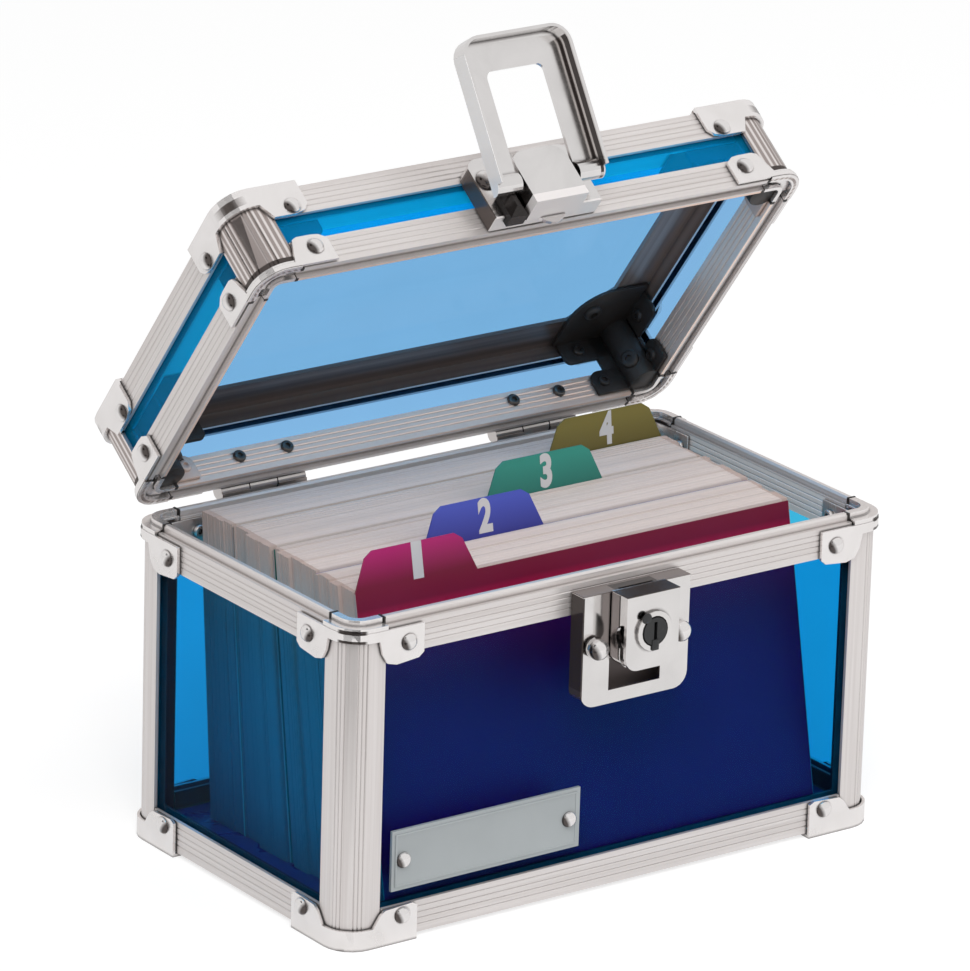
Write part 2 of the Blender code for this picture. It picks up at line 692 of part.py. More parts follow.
def lock_housing():
    back = LOCK_FRONT - CLEAR
    depth = HOUSING_DEPTH - CLEAR
    face = back - depth
    shell = pan(HOUSING_WIDTH, HOUSING_LOW, HOUSING_HIGH, HOUSING_CORNER, True, back, depth, HOUSING_WALL)
    ring_depth = RING_PROUD + HOUSING_WALL / 2
    ring = moved(cylinder(RING_RADIUS, ring_depth), FACING_FRONT)
    shifted(ring, y=face - RING_PROUD + ring_depth / 2, z=PLUG_Z)
    bore = moved(cylinder(PLUG_RADIUS + CLEAR, 2 * HOUSING_DEPTH), FACING_FRONT)
    shifted(bore, y=face, z=PLUG_Z)
    side = moved(cylinder(SIDE_HOLE_RADIUS, HOUSING_WIDTH / 2), ALONG_X)
    shifted(side, x=-HOUSING_WIDTH / 2, y=face + HOUSING_WALL, z=SIDE_HOLE_Z)
    keep = box((-HOUSING_WIDTH, 0), (face - OVERRUN, face + HOUSING_WALL), (HOUSING_LOW, HOUSING_HIGH))
    half_disc = shaped(side, cuts=[keep])
    bar_back = FRONT - HASP_OUT - HASP_FACE + HASP_SHEET + CLEAR
    bar_top = HOUSING_LOW + LOCK_TRAVEL + CLEAR
    bar_slot = box((-HOUSING_WIDTH, HOUSING_WIDTH), (face + HOUSING_WALL, bar_back), (0, bar_top))
    joined = shaped(shell, joins=[ring])
    return shaped(joined, cuts=[bore, half_disc, bar_slot])


def key_plug():
    """The key plug on its axis, at y = 0 in the plane of its outer face, with a short cam behind."""
    body = moved(cylinder(PLUG_RADIUS, PLUG_LENGTH), FACING_FRONT)
    shifted(body, y=PLUG_LENGTH / 2)
    half = KEYWAY_WIDTH / 2
    keyway = box((-half, half), (-OVERRUN, KEYWAY_DEPTH), (-KEYWAY_HEIGHT / 2, KEYWAY_HEIGHT / 2))
    back = PLUG_LENGTH
    cam = box((-CAM_WIDTH / 2, CAM_WIDTH / 2), (back - CAM_THICK, back), (-CAM_LENGTH, 0))
    return shaped(body, joins=[cam], cuts=[keyway])


def add_lock(box_root):
    node("lock_base", lock_base(), STEEL, box_root)
    node("lock_housing", lock_housing(), STEEL, box_root)
    face = LOCK_FRONT - HOUSING_DEPTH
    pivot = frame_point("key_turn", (0, face - PLUG_PROUD, PLUG_Z), 0, box_root)
    node("key_plug", key_plug(), BLACK, pivot)


# Hinges

def knuckle(start, end):
    barrel = moved(cylinder(KNUCKLE_RADIUS, end - start), ALONG_X)
    return shifted(barrel, x=(start + end) / 2)


def add_hinges(box_root, lid):
    """Each hinge: a leaf on the box with the two outer knuckles and the pin, and a leaf on the lid."""
    half = HINGE_WIDTH / 2
    middle = KNUCKLE_WIDTH / 2
    near = CLEAR - HINGE_OUT
    plate_y = (near, near + HINGE_LEAF_THICK)
    below = box((-half, half), plate_y, (-HINGE_LEAF_HEIGHT - KNUCKLE_RADIUS, -KNUCKLE_RADIUS))
    above = box((-half, half), plate_y, (KNUCKLE_RADIUS, HINGE_LEAF_HEIGHT + KNUCKLE_RADIUS))
    pin = moved(cylinder(PIN_RADIUS, HINGE_WIDTH), ALONG_X)
    box_parts = [pin]
    for start, end in ((-half, -middle - CLEAR), (middle + CLEAR, half)):
        box_parts.append(box((start, end), plate_y, (-KNUCKLE_RADIUS - HINGE_LEAF_THICK, 0)))
        box_parts.append(knuckle(start, end))
    lid_neck = box((-middle, middle), plate_y, (0, KNUCKLE_RADIUS + HINGE_LEAF_THICK))
    bore = moved(cylinder(PIN_RADIUS + CLEAR, HINGE_WIDTH), ALONG_X)
    box_leaf = shaped(below, joins=box_parts)
    lid_leaf = shaped(shaped(above, joins=[lid_neck, knuckle(-middle, middle)]), cuts=[bore])
    for name, side in (("left", -1), ("right", 1)):
        node("hinge_box_leaf_" + name, box_leaf, DARK_STEEL, box_root, (side * HINGE_X, HINGE_Y, HINGE_Z))
        node("hinge_lid_leaf_" + name, lid_leaf, DARK_STEEL, lid, (side * HINGE_X, 0, 0))


# Lid

LID_HINGE = (0, HINGE_Y, HINGE_Z)


def lid_corner():
    """A lid corner: a short post with its rim cap and its top cap riveted on, z = 0 at the lid's rim."""
    top = LID_HEIGHT + CLEAR + CAP_THICK
    body = shifted(post(top - CAP_THICK / 2 - CHANNEL_DEPTH), z=CHANNEL_DEPTH)
    lip_height = CHANNEL_DEPTH + CAP_THICK
    outer_lip = corner_band(-TOP_CAP_BAND, CHANNEL_NEAR, POST_LEG, lip_height)
    inner_lip = corner_band(CHANNEL_FAR, LID_RIM_THICK, POST_LEG, lip_height)
    rim_cap = sheet_cap(CLEAR, LID_RIM_CAP_RISE, LID_RIM_FLAP_SHARES, True, True)
    top_cap = floored_cap(LID_HEIGHT - LID_TOP_CAP_DROP, top, LID_TOP_FLAP_SHARES, False, True)
    heads = cap_rivets(LID_RIM_RIVET_RISE) + cap_rivets(LID_HEIGHT - LID_TOP_RIVET_DROP)
    return shaped(body, joins=[outer_lip, inner_lip, rim_cap, top_cap] + heads)


def lid_top_rail(turn):
    """A top rail with the flange that carries the top panel; the side flanges stop short of the others."""
    web = rail(lid_top_outline(), turn)
    along, _ = side_span(turn)
    whole = along + 2 * POST_LEG
    short = LEDGE_REACH + CLEAR if turn % 2 else POST_LEG + CLEAR
    half = whole / 2 - short
    low = LID_RAIL_HEIGHT - LEDGE_RISE
    ledge = box((-half, half), (RAIL_THICK - CAP_THICK, LEDGE_REACH), (low, low + LEDGE_THICK))
    return shaped(web, joins=[ledge])


def add_lid(lid):
    corner = lid_corner()
    for turn, name in enumerate(CORNERS):
        place = corner_place(turn, LID_BOTTOM, LID_HINGE)
        node("lid_corner_" + name, corner, STEEL, lid, place, turn * pi / 2)
    low = LID_BOTTOM + LID_RAIL_HEIGHT - SLOT_DEPTH + CLEAR
    high = LID_BOTTOM + LID_RAIL_SPLIT + SLOT_DEPTH - CLEAR
    for turn, name in enumerate(SIDES):
        turned = turn * pi / 2
        rim_place = side_place(turn, LID_BOTTOM, LID_HINGE)
        top_place = side_place(turn, LID_BOTTOM + LID_RAIL_SPLIT, LID_HINGE)
        node("lid_rim_rail_" + name, rail(lid_rim_outline(), turn), ALUMINIUM, lid, rim_place, turned)
        node("lid_top_rail_" + name, lid_top_rail(turn), ALUMINIUM, lid, top_place, turned)
        strip = panel(turn, high - low)
        node("lid_strip_" + name, strip, BLUE, lid, side_place(turn, low, LID_HINGE), turned)
    half_x = BOX_WIDTH / 2 - RAIL_THICK - CLEAR
    half_y = BOX_DEPTH / 2 - RAIL_THICK - CLEAR
    under = LID_BOTTOM + LID_HEIGHT - LEDGE_RISE + LEDGE_THICK + CLEAR
    top = box((-half_x, half_x), (-half_y, half_y), (under, under + TOP_PANEL_THICK))
    node("lid_top_panel", shifted(top, y=-HINGE_Y, z=-HINGE_Z), BLUE, lid)


# Latch on the lid, worked out about the loop's pivot: y and z there are zero

def latch_base():
    """The latch's pan with its raised cover, its tab and the bores for the loop's pin."""
    face = HASP_OUT - LOCK_DEPTH
    low = LATCH_RISE - HASP_RISE
    high = low + LATCH_HEIGHT
    back = HASP_OUT - CLEAR
    shell = pan(LATCH_WIDTH, low, high, LOCK_CORNER, False, back, LOCK_DEPTH - CLEAR, SHEET)
    cover_low = -HASP_RISE - COVER_DROP
    cover_high = cover_low + COVER_HEIGHT
    cover_back = face + SHEET / 2
    cover_depth = COVER_DEPTH + SHEET / 2
    cover = pan(COVER_WIDTH, cover_low, cover_high, COVER_CORNER, False, cover_back, cover_depth, SHEET)
    disc = moved(cylinder(TAB_RADIUS, SHEET), FACING_FRONT)
    shifted(disc, y=face + SHEET / 2, z=low + SHEET / 2)
    bore = moved(cylinder(HASP_PIN_RADIUS + CLEAR, 2 * COVER_WIDTH), ALONG_X)
    joined = shaped(shell, joins=[cover, disc])
    bored = shaped(joined, cuts=[bore])
    return shaped(bored, joins=rivet_pair(LOCK_RIVET_X, LATCH_RIVET_RISE - HASP_RISE, face, SHEET))


def hasp_plate(inset, depth):
    """The loop's outline hanging down from the pivot, drawn smaller by the inset."""
    half = HASP_WIDTH / 2 - inset
    radius = HASP_CORNER - inset
    low = inset - HASP_LENGTH
    right = arc((half - radius, low + radius), radius, 3, 4)
    left = arc((radius - half, low + radius), radius, 2, 3)
    return extruded(left + right + [(half, 0), (-half, 0)], depth)


def hasp_loop():
    """The loop in its closed place: the plate faces the front, and its flange runs back toward the box."""
    face = -HASP_FACE
    plate = shifted(moved(hasp_plate(0, HASP_FLANGE), FACING_FRONT), y=face + HASP_FLANGE)
    hollow = shifted(moved(hasp_plate(SHEET, HASP_FLANGE), FACING_FRONT), y=face + HASP_SHEET + HASP_FLANGE)
    open_top = box((-HASP_WIDTH / 2 + SHEET, HASP_WIDTH / 2 - SHEET),
                   (face + HASP_SHEET, face + HASP_FLANGE + OVERRUN), (-HASP_CORNER, OVERRUN))
    half = HASP_OPENING / 2
    low = HASP_BAR - HASP_LENGTH
    radius = HASP_OPENING_CORNER
    outline = arc((radius - half, low + radius), radius, 2, 3)
    outline += arc((half - radius, low + radius), radius, 3, 4)
    outline += [(half, EAR_RADIUS + OVERRUN), (-half, EAR_RADIUS + OVERRUN)]
    opening = moved(extruded(outline, HASP_FLANGE + 2 * OVERRUN), FACING_FRONT)
    shifted(opening, y=face + HASP_FLANGE + OVERRUN)
    shell = shaped(plate, cuts=[hollow, open_top, opening])
    ears = []
    for side in (-1, 1):
        near, far = sorted((side * half, side * HASP_WIDTH / 2))
        ear = shifted(moved(cylinder(EAR_RADIUS, far - near), ALONG_X), x=(near + far) / 2)
        front_y = (-2 * EAR_RADIUS, face - WELD)
        front = box((near - OVERRUN, far + OVERRUN), front_y, (-2 * EAR_RADIUS, 2 * EAR_RADIUS))
        ears.append(shaped(ear, cuts=[front]))
    pin = moved(cylinder(HASP_PIN_RADIUS, HASP_WIDTH - 2 * SHEET), ALONG_X)
    return shaped(shell, joins=ears + [pin])


def add_latch(lid):
    place = Vector((0, FRONT - HASP_OUT, LID_BOTTOM + HASP_RISE)) - Vector(LID_HINGE)
    node("latch_base", latch_base(), STEEL, lid, place)
    pivot = frame_point("hasp_hinge", place, -HASP_REST, lid)
    node("hasp_loop", hasp_loop(), STEEL, pivot)


# Cards

def station(share):
    """Foot and lean of the stack at a share of its length, front to rear."""
    foot = FRONT + FRONT_SPACE + STACK_LENGTH * share
    lean = CARD_LEAN_FRONT + (CARD_LEAN_REAR - CARD_LEAN_FRONT) * share
    return foot, lean


CARD_FLOOR = BOTTOM_THICK + 2 * CLEAR


def divider(index):
    """A divider sheet with its tab, standing on z = 0 with its foot on the X axis."""
    half = CARD_WIDTH / 2
    tab_foot = TAB_TOP_WIDTH + 2 * TAB_SIDE_RUN
    pitch = (CARD_WIDTH - tab_foot) / (len(DIVIDER_SHARES) - 1)
    left = index * pitch - half
    top = CARD_HEIGHT + TAB_HEIGHT
    inner_left = left + TAB_SIDE_RUN
    inner_right = inner_left + TAB_TOP_WIDTH
    outline = [(-half, 0), (half, 0), (half, CARD_HEIGHT), (left + tab_foot, CARD_HEIGHT)]
    outline += [(inner_right + TAB_CORNER / 2, top - TAB_CORNER), (inner_right - TAB_CORNER, top)]
    outline += [(inner_left + TAB_CORNER, top), (inner_left - TAB_CORNER / 2, top - TAB_CORNER)]
    outline += [(left, CARD_HEIGHT), (-half, CARD_HEIGHT)]
    points = []
    for point in outline:
        if point not in points:
            points.append(point)
    return shifted(moved(extruded(points, DIVIDER_THICK), FACING_FRONT), y=DIVIDER_THICK)


def card_pack(share, next_share):
    """White cards that fill the space between two dividers."""
    offset = DIVIDER_THICK + CLEAR
    corners = []
    for place, shift in ((station(share), offset), (station(next_share), -CLEAR)):
        foot = place[0] + shift
        run, rise = CARD_HEIGHT * sin(place[1]), CARD_HEIGHT * cos(place[1])
        corners.append(((foot, 0), (foot + run, rise)))
    outline = [corners[0][0], corners[1][0], corners[1][1], corners[0][1]]
    return shifted(moved(extruded(outline, CARD_WIDTH), ALONG_RAIL), x=-CARD_WIDTH / 2)


def add_cards(box_root):
    ends = DIVIDER_SHARES[1:] + (1.0,)
    for i, (share, next_share) in enumerate(zip(DIVIDER_SHARES, ends)):
        foot, lean = station(share)
        sheet = node(f"divider_{i + 1}", divider(i), TABS[i], box_root, (CARD_SHIFT, foot, CARD_FLOOR))
        sheet.rotation_euler = (-lean, 0, 0)
        pack = card_pack(share, next_share)
        node(f"card_pack_{i + 1}", pack, CARD_WHITE, box_root, (CARD_SHIFT, 0, CARD_FLOOR))


clear_scene()
PARTS = new_collection("index_card_box")
CUTTERS = new_collection("cutters")
ALUMINIUM = material("brushed_aluminium", (0.74, 0.71, 0.69), 0.38, 1.0)
STEEL = material("chromed_steel", (0.80, 0.79, 0.78), 0.18, 1.0)
DARK_STEEL = material("hinge_steel", (0.32, 0.31, 0.30), 0.35, 1.0)
BLUE = material("blue_plastic", (0.02, 0.33, 0.72), 0.08, 0.0, 0.8)
PLATE_GREY = material("plate_grey", (0.42, 0.46, 0.46), 0.35, 0.6)
BLACK = material("black_plug", (0.02, 0.02, 0.02), 0.45, 0.0)
CARD_WHITE = material("card_white", (0.85, 0.82, 0.80), 0.8, 0.0)
TABS = (
    material("tab_magenta", (0.26, 0.01, 0.10), 0.6, 0.0),
    material("tab_blue", (0.05, 0.07, 0.38), 0.6, 0.0),
    material("tab_green", (0.03, 0.22, 0.17), 0.6, 0.0),
    material("tab_olive", (0.15, 0.12, 0.03), 0.6, 0.0),
)
root = frame_point("box", (0, 0, 0), 0)
lid_hinge = frame_point("lid_hinge", LID_HINGE, -LID_REST, root)
add_posts(root)
add_rails(root)
add_panels(root)
add_caps(root)
add_name_plate(root)
add_lock(root)
add_hinges(root, lid_hinge)
add_lid(lid_hinge)
add_latch(lid_hinge)
add_cards(root)
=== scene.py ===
"""Looks of the lockable index card box: finishes, cards, numerals, brackets, screws, light and camera."""

import random
from collections import namedtuple
from math import pi, radians

import bmesh
import bpy
from mathutils import Matrix, Vector


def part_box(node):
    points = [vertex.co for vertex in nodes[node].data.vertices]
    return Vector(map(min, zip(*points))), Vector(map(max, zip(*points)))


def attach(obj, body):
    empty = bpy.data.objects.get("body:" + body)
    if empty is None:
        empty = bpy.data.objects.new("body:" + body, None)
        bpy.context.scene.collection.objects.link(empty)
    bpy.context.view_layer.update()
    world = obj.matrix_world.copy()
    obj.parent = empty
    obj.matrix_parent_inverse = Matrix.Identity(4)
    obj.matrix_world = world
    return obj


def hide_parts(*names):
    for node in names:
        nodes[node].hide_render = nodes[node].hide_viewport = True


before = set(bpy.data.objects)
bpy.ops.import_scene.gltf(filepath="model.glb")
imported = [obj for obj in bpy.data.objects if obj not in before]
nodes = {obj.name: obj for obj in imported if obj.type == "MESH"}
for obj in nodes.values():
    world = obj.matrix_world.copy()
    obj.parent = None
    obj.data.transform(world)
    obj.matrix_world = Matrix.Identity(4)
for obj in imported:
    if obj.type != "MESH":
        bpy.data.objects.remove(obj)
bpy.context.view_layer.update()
bpy.ops.object.select_all(action="DESELECT")

# The box and its lid as the CAD has them, in metres
HALF_WIDTH = 0.078
HALF_DEPTH = 0.045
BOX_WALL = 0.0042
LID_WALL = 0.0048
BOX_IN_X = HALF_WIDTH - BOX_WALL
BOX_IN_Y = HALF_DEPTH - BOX_WALL
LID_IN_X = HALF_WIDTH - LID_WALL
LID_IN_Y = HALF_DEPTH - LID_WALL
HINGE = Vector((0, 0.0476, 0.0798))
LID_OPEN = radians(-53.5)
HASP_PIN = Vector((0, -0.0548, 0.0850))
HASP_OPEN = radians(-158)
LID_OPENED = Matrix.Translation(HINGE) @ Matrix.Rotation(LID_OPEN, 4, "X") @ Matrix.Translation(-HINGE)
FLOOR_LEVEL = -0.0011
SIDES = ("front", "right", "rear", "left")
CORNERS = {"front_left": (-1, -1), "front_right": (1, -1), "rear_right": (1, 1), "rear_left": (-1, 1)}
CORNER_RADIUS = 0.0065
CAP_FACE = 0.0011
RIVET_INSET = 0.0157
PLATE_FRONT = -0.0449

CARD_WIDTH = 0.127
CARD_HEIGHT = 0.0762
CARD_SHIFT = 0.0005
CARD_FLOOR = 0.0036
STACK_FRONT = -0.0403
STACK_LENGTH = 0.0722
LEAN_FRONT = radians(11.5)
LEAN_REAR = radians(4.8)
DIVIDER_SHARES = (0.0, 0.25, 0.53, 0.80)
DIVIDER_THICK = 0.0004
TAB_HEIGHT = 0.0096
TAB_FOOT_WIDTH = 0.0349

# Sizes of the added pieces
SHEET_PITCH = 0.00052
PACK_GAP = 0.0003
BOW_ENDS = (-0.030, 0.025)
NUMERAL_SIZE = 0.0108
SCREW_SINK = 0.0002
PLATE_THICK = 0.0010
RIM_TAB_THICK = 0.0008
EDGE = 0.0002
CAP_RIVET = (0.00208, 0.00145)
PLATE_RIVET = (0.0020, 0.0014)
LOCK_RIVET = (0.0026, 0.0020)
LATCH_RIVET = (0.0027, 0.0020)


# Shaping tools

def deselect():
    bpy.ops.object.select_all(action="DESELECT")


def select_only(piece):
    deselect()
    piece.select_set(True)
    bpy.context.view_layer.objects.active = piece


def settle(piece, name):
    """Names a new piece and puts its place and size into its mesh."""
    piece.name = name
    piece.data.name = name
    select_only(piece)
    bpy.ops.object.transform_apply(location=True, rotation=True, scale=True)
    return piece


def slab(name, low, high):
    """A block between two corners, ready to be shaped."""
    low, high = Vector(low), Vector(high)
    deselect()
    bpy.ops.mesh.primitive_cube_add(size=1, location=(low + high) / 2, scale=high - low)
    return settle(bpy.context.object, name)


def rod(name, foot, tip, radius, sides=28):
    """A round bar between two points, ready to be shaped."""
    foot, tip = Vector(foot), Vector(tip)
    turn = (tip - foot).to_track_quat("Z", "Y").to_euler()
    deselect()
    bpy.ops.mesh.primitive_cylinder_add(
        vertices=sides, radius=radius, depth=(tip - foot).length, location=(foot + tip) / 2, rotation=turn
    )
    return settle(bpy.context.object, name)


def pick(piece, kind, wanted):
    """Opens the piece in edit mode with those faces or edges selected that pass the test."""
    select_only(piece)
    bpy.ops.object.mode_set(mode="EDIT")
    bpy.ops.mesh.select_mode(type=kind)
    bpy.ops.mesh.select_all(action="DESELECT")
    shape = bmesh.from_edit_mesh(piece.data)
    shape.normal_update()
    for part in {"FACE": shape.faces, "EDGE": shape.edges}[kind]:
        if wanted(part):
            part.select_set(True)
    shape.select_flush_mode()
    bmesh.update_edit_mesh(piece.data)


def close(piece):
    bpy.ops.object.mode_set(mode="OBJECT")
    return piece


def middle(edge):
    return (edge.verts[0].co + edge.verts[1].co) / 2


def upright(edge, axis):
    run = (edge.verts[1].co - edge.verts[0].co).normalized()
    return abs(run[axis]) > 0.9


def bevelled(piece, wanted, offset, segments):
    """Rounds the edges that pass the test; one segment cuts them flat."""
    pick(piece, "EDGE", wanted)
    bpy.ops.mesh.bevel(offset=offset, segments=segments, affect="EDGES")
    return close(piece)


def smoothed(piece, degrees):
    select_only(piece)
    bpy.ops.object.shade_smooth_by_angle(angle=radians(degrees))
    return piece


def round_off(piece, width=EDGE, segments=2):
    """Breaks the sharp edges of a piece and smooths what is round."""
    select_only(piece)
    bevel = piece.modifiers.new("round_off", "BEVEL")
    bevel.width = width
    bevel.segments = segments
    bevel.limit_method = "ANGLE"
    bevel.angle_limit = radians(35)
    bpy.ops.object.modifier_apply(modifier=bevel.name)
    return smoothed(piece, 40)


def rounded_plate(name, low, high, radius, upper=False, segments=6):
    """A flat plate with one round corner, at the low ends of its long axes or at the last one's upper end."""
    thin = min(range(3), key=lambda axis: high[axis] - low[axis])
    first, last = (axis for axis in range(3) if axis != thin)
    level = (high if upper else low)[last]

    def at_corner(edge):
        at = middle(edge)
        return upright(edge, thin) and abs(at[first] - low[first]) < EDGE and abs(at[last] - level) < EDGE

    return bevelled(slab(name, low, high), at_corner, radius, segments)


def copied(piece, name, place):
    """A copy with its own mesh, moved by a matrix; a mirrored copy gets its faces turned out again."""
    twin = piece.copy()
    twin.data = piece.data.copy()
    twin.name = name
    twin.data.name = name
    bpy.context.scene.collection.objects.link(twin)
    twin.data.transform(place)
    if place.determinant() < 0:
        pick(twin, "FACE", lambda face: True)
        bpy.ops.mesh.normals_make_consistent(inside=False)
        close(twin)
    return twin


def mirrored(template, name, x, y):
    """The template's image in the corner on the sides x and y; the template itself goes."""
    twin = copied(template, name, Matrix.Diagonal((x, y, 1, 1)))
    bpy.data.objects.remove(template)
    return twin


def joined(pieces, name):
    deselect()
    for piece in pieces:
        piece.select_set(True)
    bpy.context.view_layer.objects.active = pieces[0]
    bpy.ops.object.join()
    whole = bpy.context.object
    whole.name = name
    whole.data.name = name
    return whole


def finished(piece, finish, body):
    """Gives a piece its finish and its body; what rides on the lid is made for the shut lid and turned open."""
    if body == "lid":
        piece.data.transform(LID_OPENED)
    piece.data.materials.clear()
    piece.data.materials.append(finish)
    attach(piece, body)
    return piece


def facing(at, out):
    """The place that turns a head's +Z towards out."""
    return Matrix.Translation(Vector(at)) @ Vector(out).to_track_quat("Z", "Y").to_matrix().to_4x4()


def leaning(side, foot, lean):
    """The place of a card or divider in the stack, from its own upright place."""
    return Matrix.Translation((CARD_SHIFT + side, foot, CARD_FLOOR)) @ Matrix.Rotation(-lean, 4, "X")


# Node tools

def feed(tree, socket, value):
    """Links a socket to another, or gives it a constant."""
    if isinstance(value, bpy.types.NodeSocket):
        tree.links.new(value, socket)
    elif socket.type == "RGBA":
        socket.default_value = (*value, 1.0)
    else:
        socket.default_value = value


def add_step(tree, kind, **given):
    """A new node with its inputs fed; an underscore in a label stands for a space."""
    step = tree.nodes.new(f"ShaderNode{kind}")
    for label, value in given.items():
        feed(tree, step.inputs[label.replace("_", " ")], value)
    return step


def maths(tree, operation, a, b=None):
    step = tree.nodes.new("ShaderNodeMath")
    step.operation = operation
    feed(tree, step.inputs[0], a)
    if b is not None:
        feed(tree, step.inputs[1], b)
    return step.outputs[0]


def product(tree, first, *others):
    for other in others:
        first = maths(tree, "MULTIPLY", first, other)
    return first


def size_of(tree, value):
    return maths(tree, "ABSOLUTE", value)


def noise(tree, place, scale, detail, roughness=0.5, distortion=0.0):
    grain = add_step(tree, "TexNoise", Vector=place, Scale=scale, Detail=detail, Roughness=roughness)
    feed(tree, grain.inputs["Distortion"], distortion)
    return grain.outputs["Fac"]


def spread(tree, value, low, high, new_low=0.0, new_high=1.0):
    step = add_step(tree, "MapRange", Value=value, From_Min=low, From_Max=high, To_Min=new_low, To_Max=new_high)
    return step.outputs["Result"]


def scaled(tree, share, low, high):
    """From low at zero to high at one."""
    return spread(tree, share, 0.0, 1.0, low, high)


def blend_colors(tree, share, first, second):
    step = tree.nodes.new("ShaderNodeMix")
    step.data_type = "RGBA"
    for index, value in ((0, share), (6, first), (7, second)):
        feed(tree, step.inputs[index], value)
    return step.outputs[2]


def blend_values(tree, share, first, second):
    step = tree.nodes.new("ShaderNodeMix")
    for index, value in ((0, share), (2, first), (3, second)):
        feed(tree, step.inputs[index], value)
    return step.outputs[0]


def split(tree, place):
    return add_step(tree, "SeparateXYZ", Vector=place).outputs


def attribute(tree, name):
    step = tree.nodes.new("ShaderNodeAttribute")
    step.attribute_name = name
    return step.outputs["Fac"]


def mapped(tree, place, turn, shift=(0, 0, 0)):
    return add_step(tree, "Mapping", Vector=place, Rotation=turn, Location=shift).outputs["Vector"]


def shut_lid_place(tree, place):
    """The place on the lid as if it were shut."""
    turn = Matrix.Rotation(-LID_OPEN, 3, "X")
    return mapped(tree, place, (-LID_OPEN, 0, 0), HINGE - turn @ HINGE)


def shut_hasp_place(tree, place):
    """The place on the hasp's loop as if both it and the lid were shut."""
    turn = Matrix.Rotation(-HASP_OPEN, 3, "X")
    return mapped(tree, shut_lid_place(tree, place), (-HASP_OPEN, 0, 0), HASP_PIN - turn @ HASP_PIN)


def along(tree, place, axis):
    """Turns a place so that the brushing runs along the given axis."""
    turn = {"X": (0, 0, 0), "Y": (0, 0, -pi / 2), "Z": (0, pi / 2, 0)}[axis]
    return mapped(tree, place, turn)


def between(tree, axes, limits):
    """One where the place lies within the limits of each named axis."""
    masks = []
    for axis, (low, high) in limits.items():
        masks.append(maths(tree, "GREATER_THAN", axes[axis], low))
        masks.append(maths(tree, "LESS_THAN", axes[axis], high))
    return product(tree, *masks)


def inner_mask(tree, place, reach):
    """One on faces that look into the box or lid, zero on the outside, from the place alone."""
    axes = split(tree, place)
    in_width = maths(tree, "LESS_THAN", size_of(tree, axes["X"]), HALF_WIDTH - reach)
    in_depth = maths(tree, "LESS_THAN", size_of(tree, axes["Y"]), HALF_DEPTH - reach)
    return product(tree, in_width, in_depth), axes


# Shared textures

def new_group(name, inputs, outputs):
    """A node group whose inputs are a place, without a value, or numbers, and whose outputs are numbers."""
    group = bpy.data.node_groups.new(name, "ShaderNodeTree")
    for label, value in inputs.items():
        kind = "NodeSocketVector" if value is None else "NodeSocketFloat"
        socket = group.interface.new_socket(name=label, in_out="INPUT", socket_type=kind)
        if value is not None:
            socket.default_value = value
    for label in outputs:
        group.interface.new_socket(name=label, in_out="OUTPUT", socket_type="NodeSocketFloat")
    way_in = group.nodes.new("NodeGroupInput")
    way_out = group.nodes.new("NodeGroupOutput")
    return group, way_in.outputs, way_out.inputs


def brushed_grain_group():
    """Long fine brushing lines along X, with the drawing bands of an extrusion."""
    group, given, made = new_group("brushed_grain", {"Place": None, "Fineness": 1400.0}, ("Lines", "Bands"))
    stretch = group.nodes.new("ShaderNodeVectorMath")
    stretch.operation = "MULTIPLY"
    stretch.inputs[1].default_value = (0.012, 1.0, 1.0)
    group.links.new(given["Place"], stretch.inputs[0])
    lines = noise(group, stretch.outputs[0], given["Fineness"], 4.0, 0.62)
    bands = noise(group, stretch.outputs[0], 420.0, 2.0)
    group.links.new(spread(group, lines, 0.25, 0.75), made["Lines"])
    group.links.new(spread(group, bands, 0.3, 0.7), made["Bands"])
    return group


def handling_group():
    """Faint smears and fine dust from handling."""
    group, given, made = new_group("handling_marks", {"Place": None, "Size": 60.0}, ("Smears", "Dust"))
    smears = noise(group, given["Place"], given["Size"], 5.0, distortion=1.2)
    specks = noise(group, given["Place"], 2600.0, 2.0, 0.7)
    group.links.new(spread(group, smears, 0.35, 0.75), made["Smears"])
    group.links.new(spread(group, specks, 0.62, 0.80), made["Dust"])
    return group


def moulded_skin_group():
    """The fine even texture of moulded or printed plastic."""
    group, given, made = new_group("moulded_skin", {"Place": None, "Fineness": 1800.0}, ("Pits", "Clouds"))
    pits = noise(group, given["Place"], given["Fineness"], 3.0)
    clouds = noise(group, given["Place"], 55.0, 3.0)
    group.links.new(pits, made["Pits"])
    group.links.new(spread(group, clouds, 0.3, 0.7), made["Clouds"])
    return group


def shade_lines_group():
    """Painted shade from ambient occlusion where one part meets another and in creases: one in the open, zero in
    a corner.
    """
    group, given, made = new_group("shade_lines", {"Reach": 0.0009}, ("Open",))
    corner = add_step(group, "AmbientOcclusion", Distance=given["Reach"])
    corner.samples = 8
    group.links.new(spread(group, corner.outputs["AO"], 0.42, 0.86), made["Open"])
    return group


GRAIN = brushed_grain_group()
SHADE = shade_lines_group()
HANDLING = handling_group()
SKIN = moulded_skin_group()


# Finishes

def bare_finish(name):
    """An empty material, its tree and the socket that its surface goes into."""
    finish = bpy.data.materials.new(name)
    finish.use_nodes = True
    tree = finish.node_tree
    tree.nodes.clear()
    return finish, tree, tree.nodes.new("ShaderNodeOutputMaterial").inputs["Surface"]


def new_finish(name):
    finish, tree, surface = bare_finish(name)
    shader = tree.nodes.new("ShaderNodeBsdfPrincipled")
    tree.links.new(shader.outputs["BSDF"], surface)
    return finish, tree, shader, tree.nodes.new("ShaderNodeTexCoord").outputs["Object"]


def plain_shader(tree, kind, color):
    return add_step(tree, kind, Color=color).outputs["BSDF"]


def choose(tree, share, first, second, surface):
    """Puts the first shader on the surface, or the second where the share is one."""
    choice = tree.nodes.new("ShaderNodeMixShader")
    for socket, source in zip(choice.inputs, (share, first, second)):
        tree.links.new(source, socket)
    tree.links.new(choice.outputs["Shader"], surface)


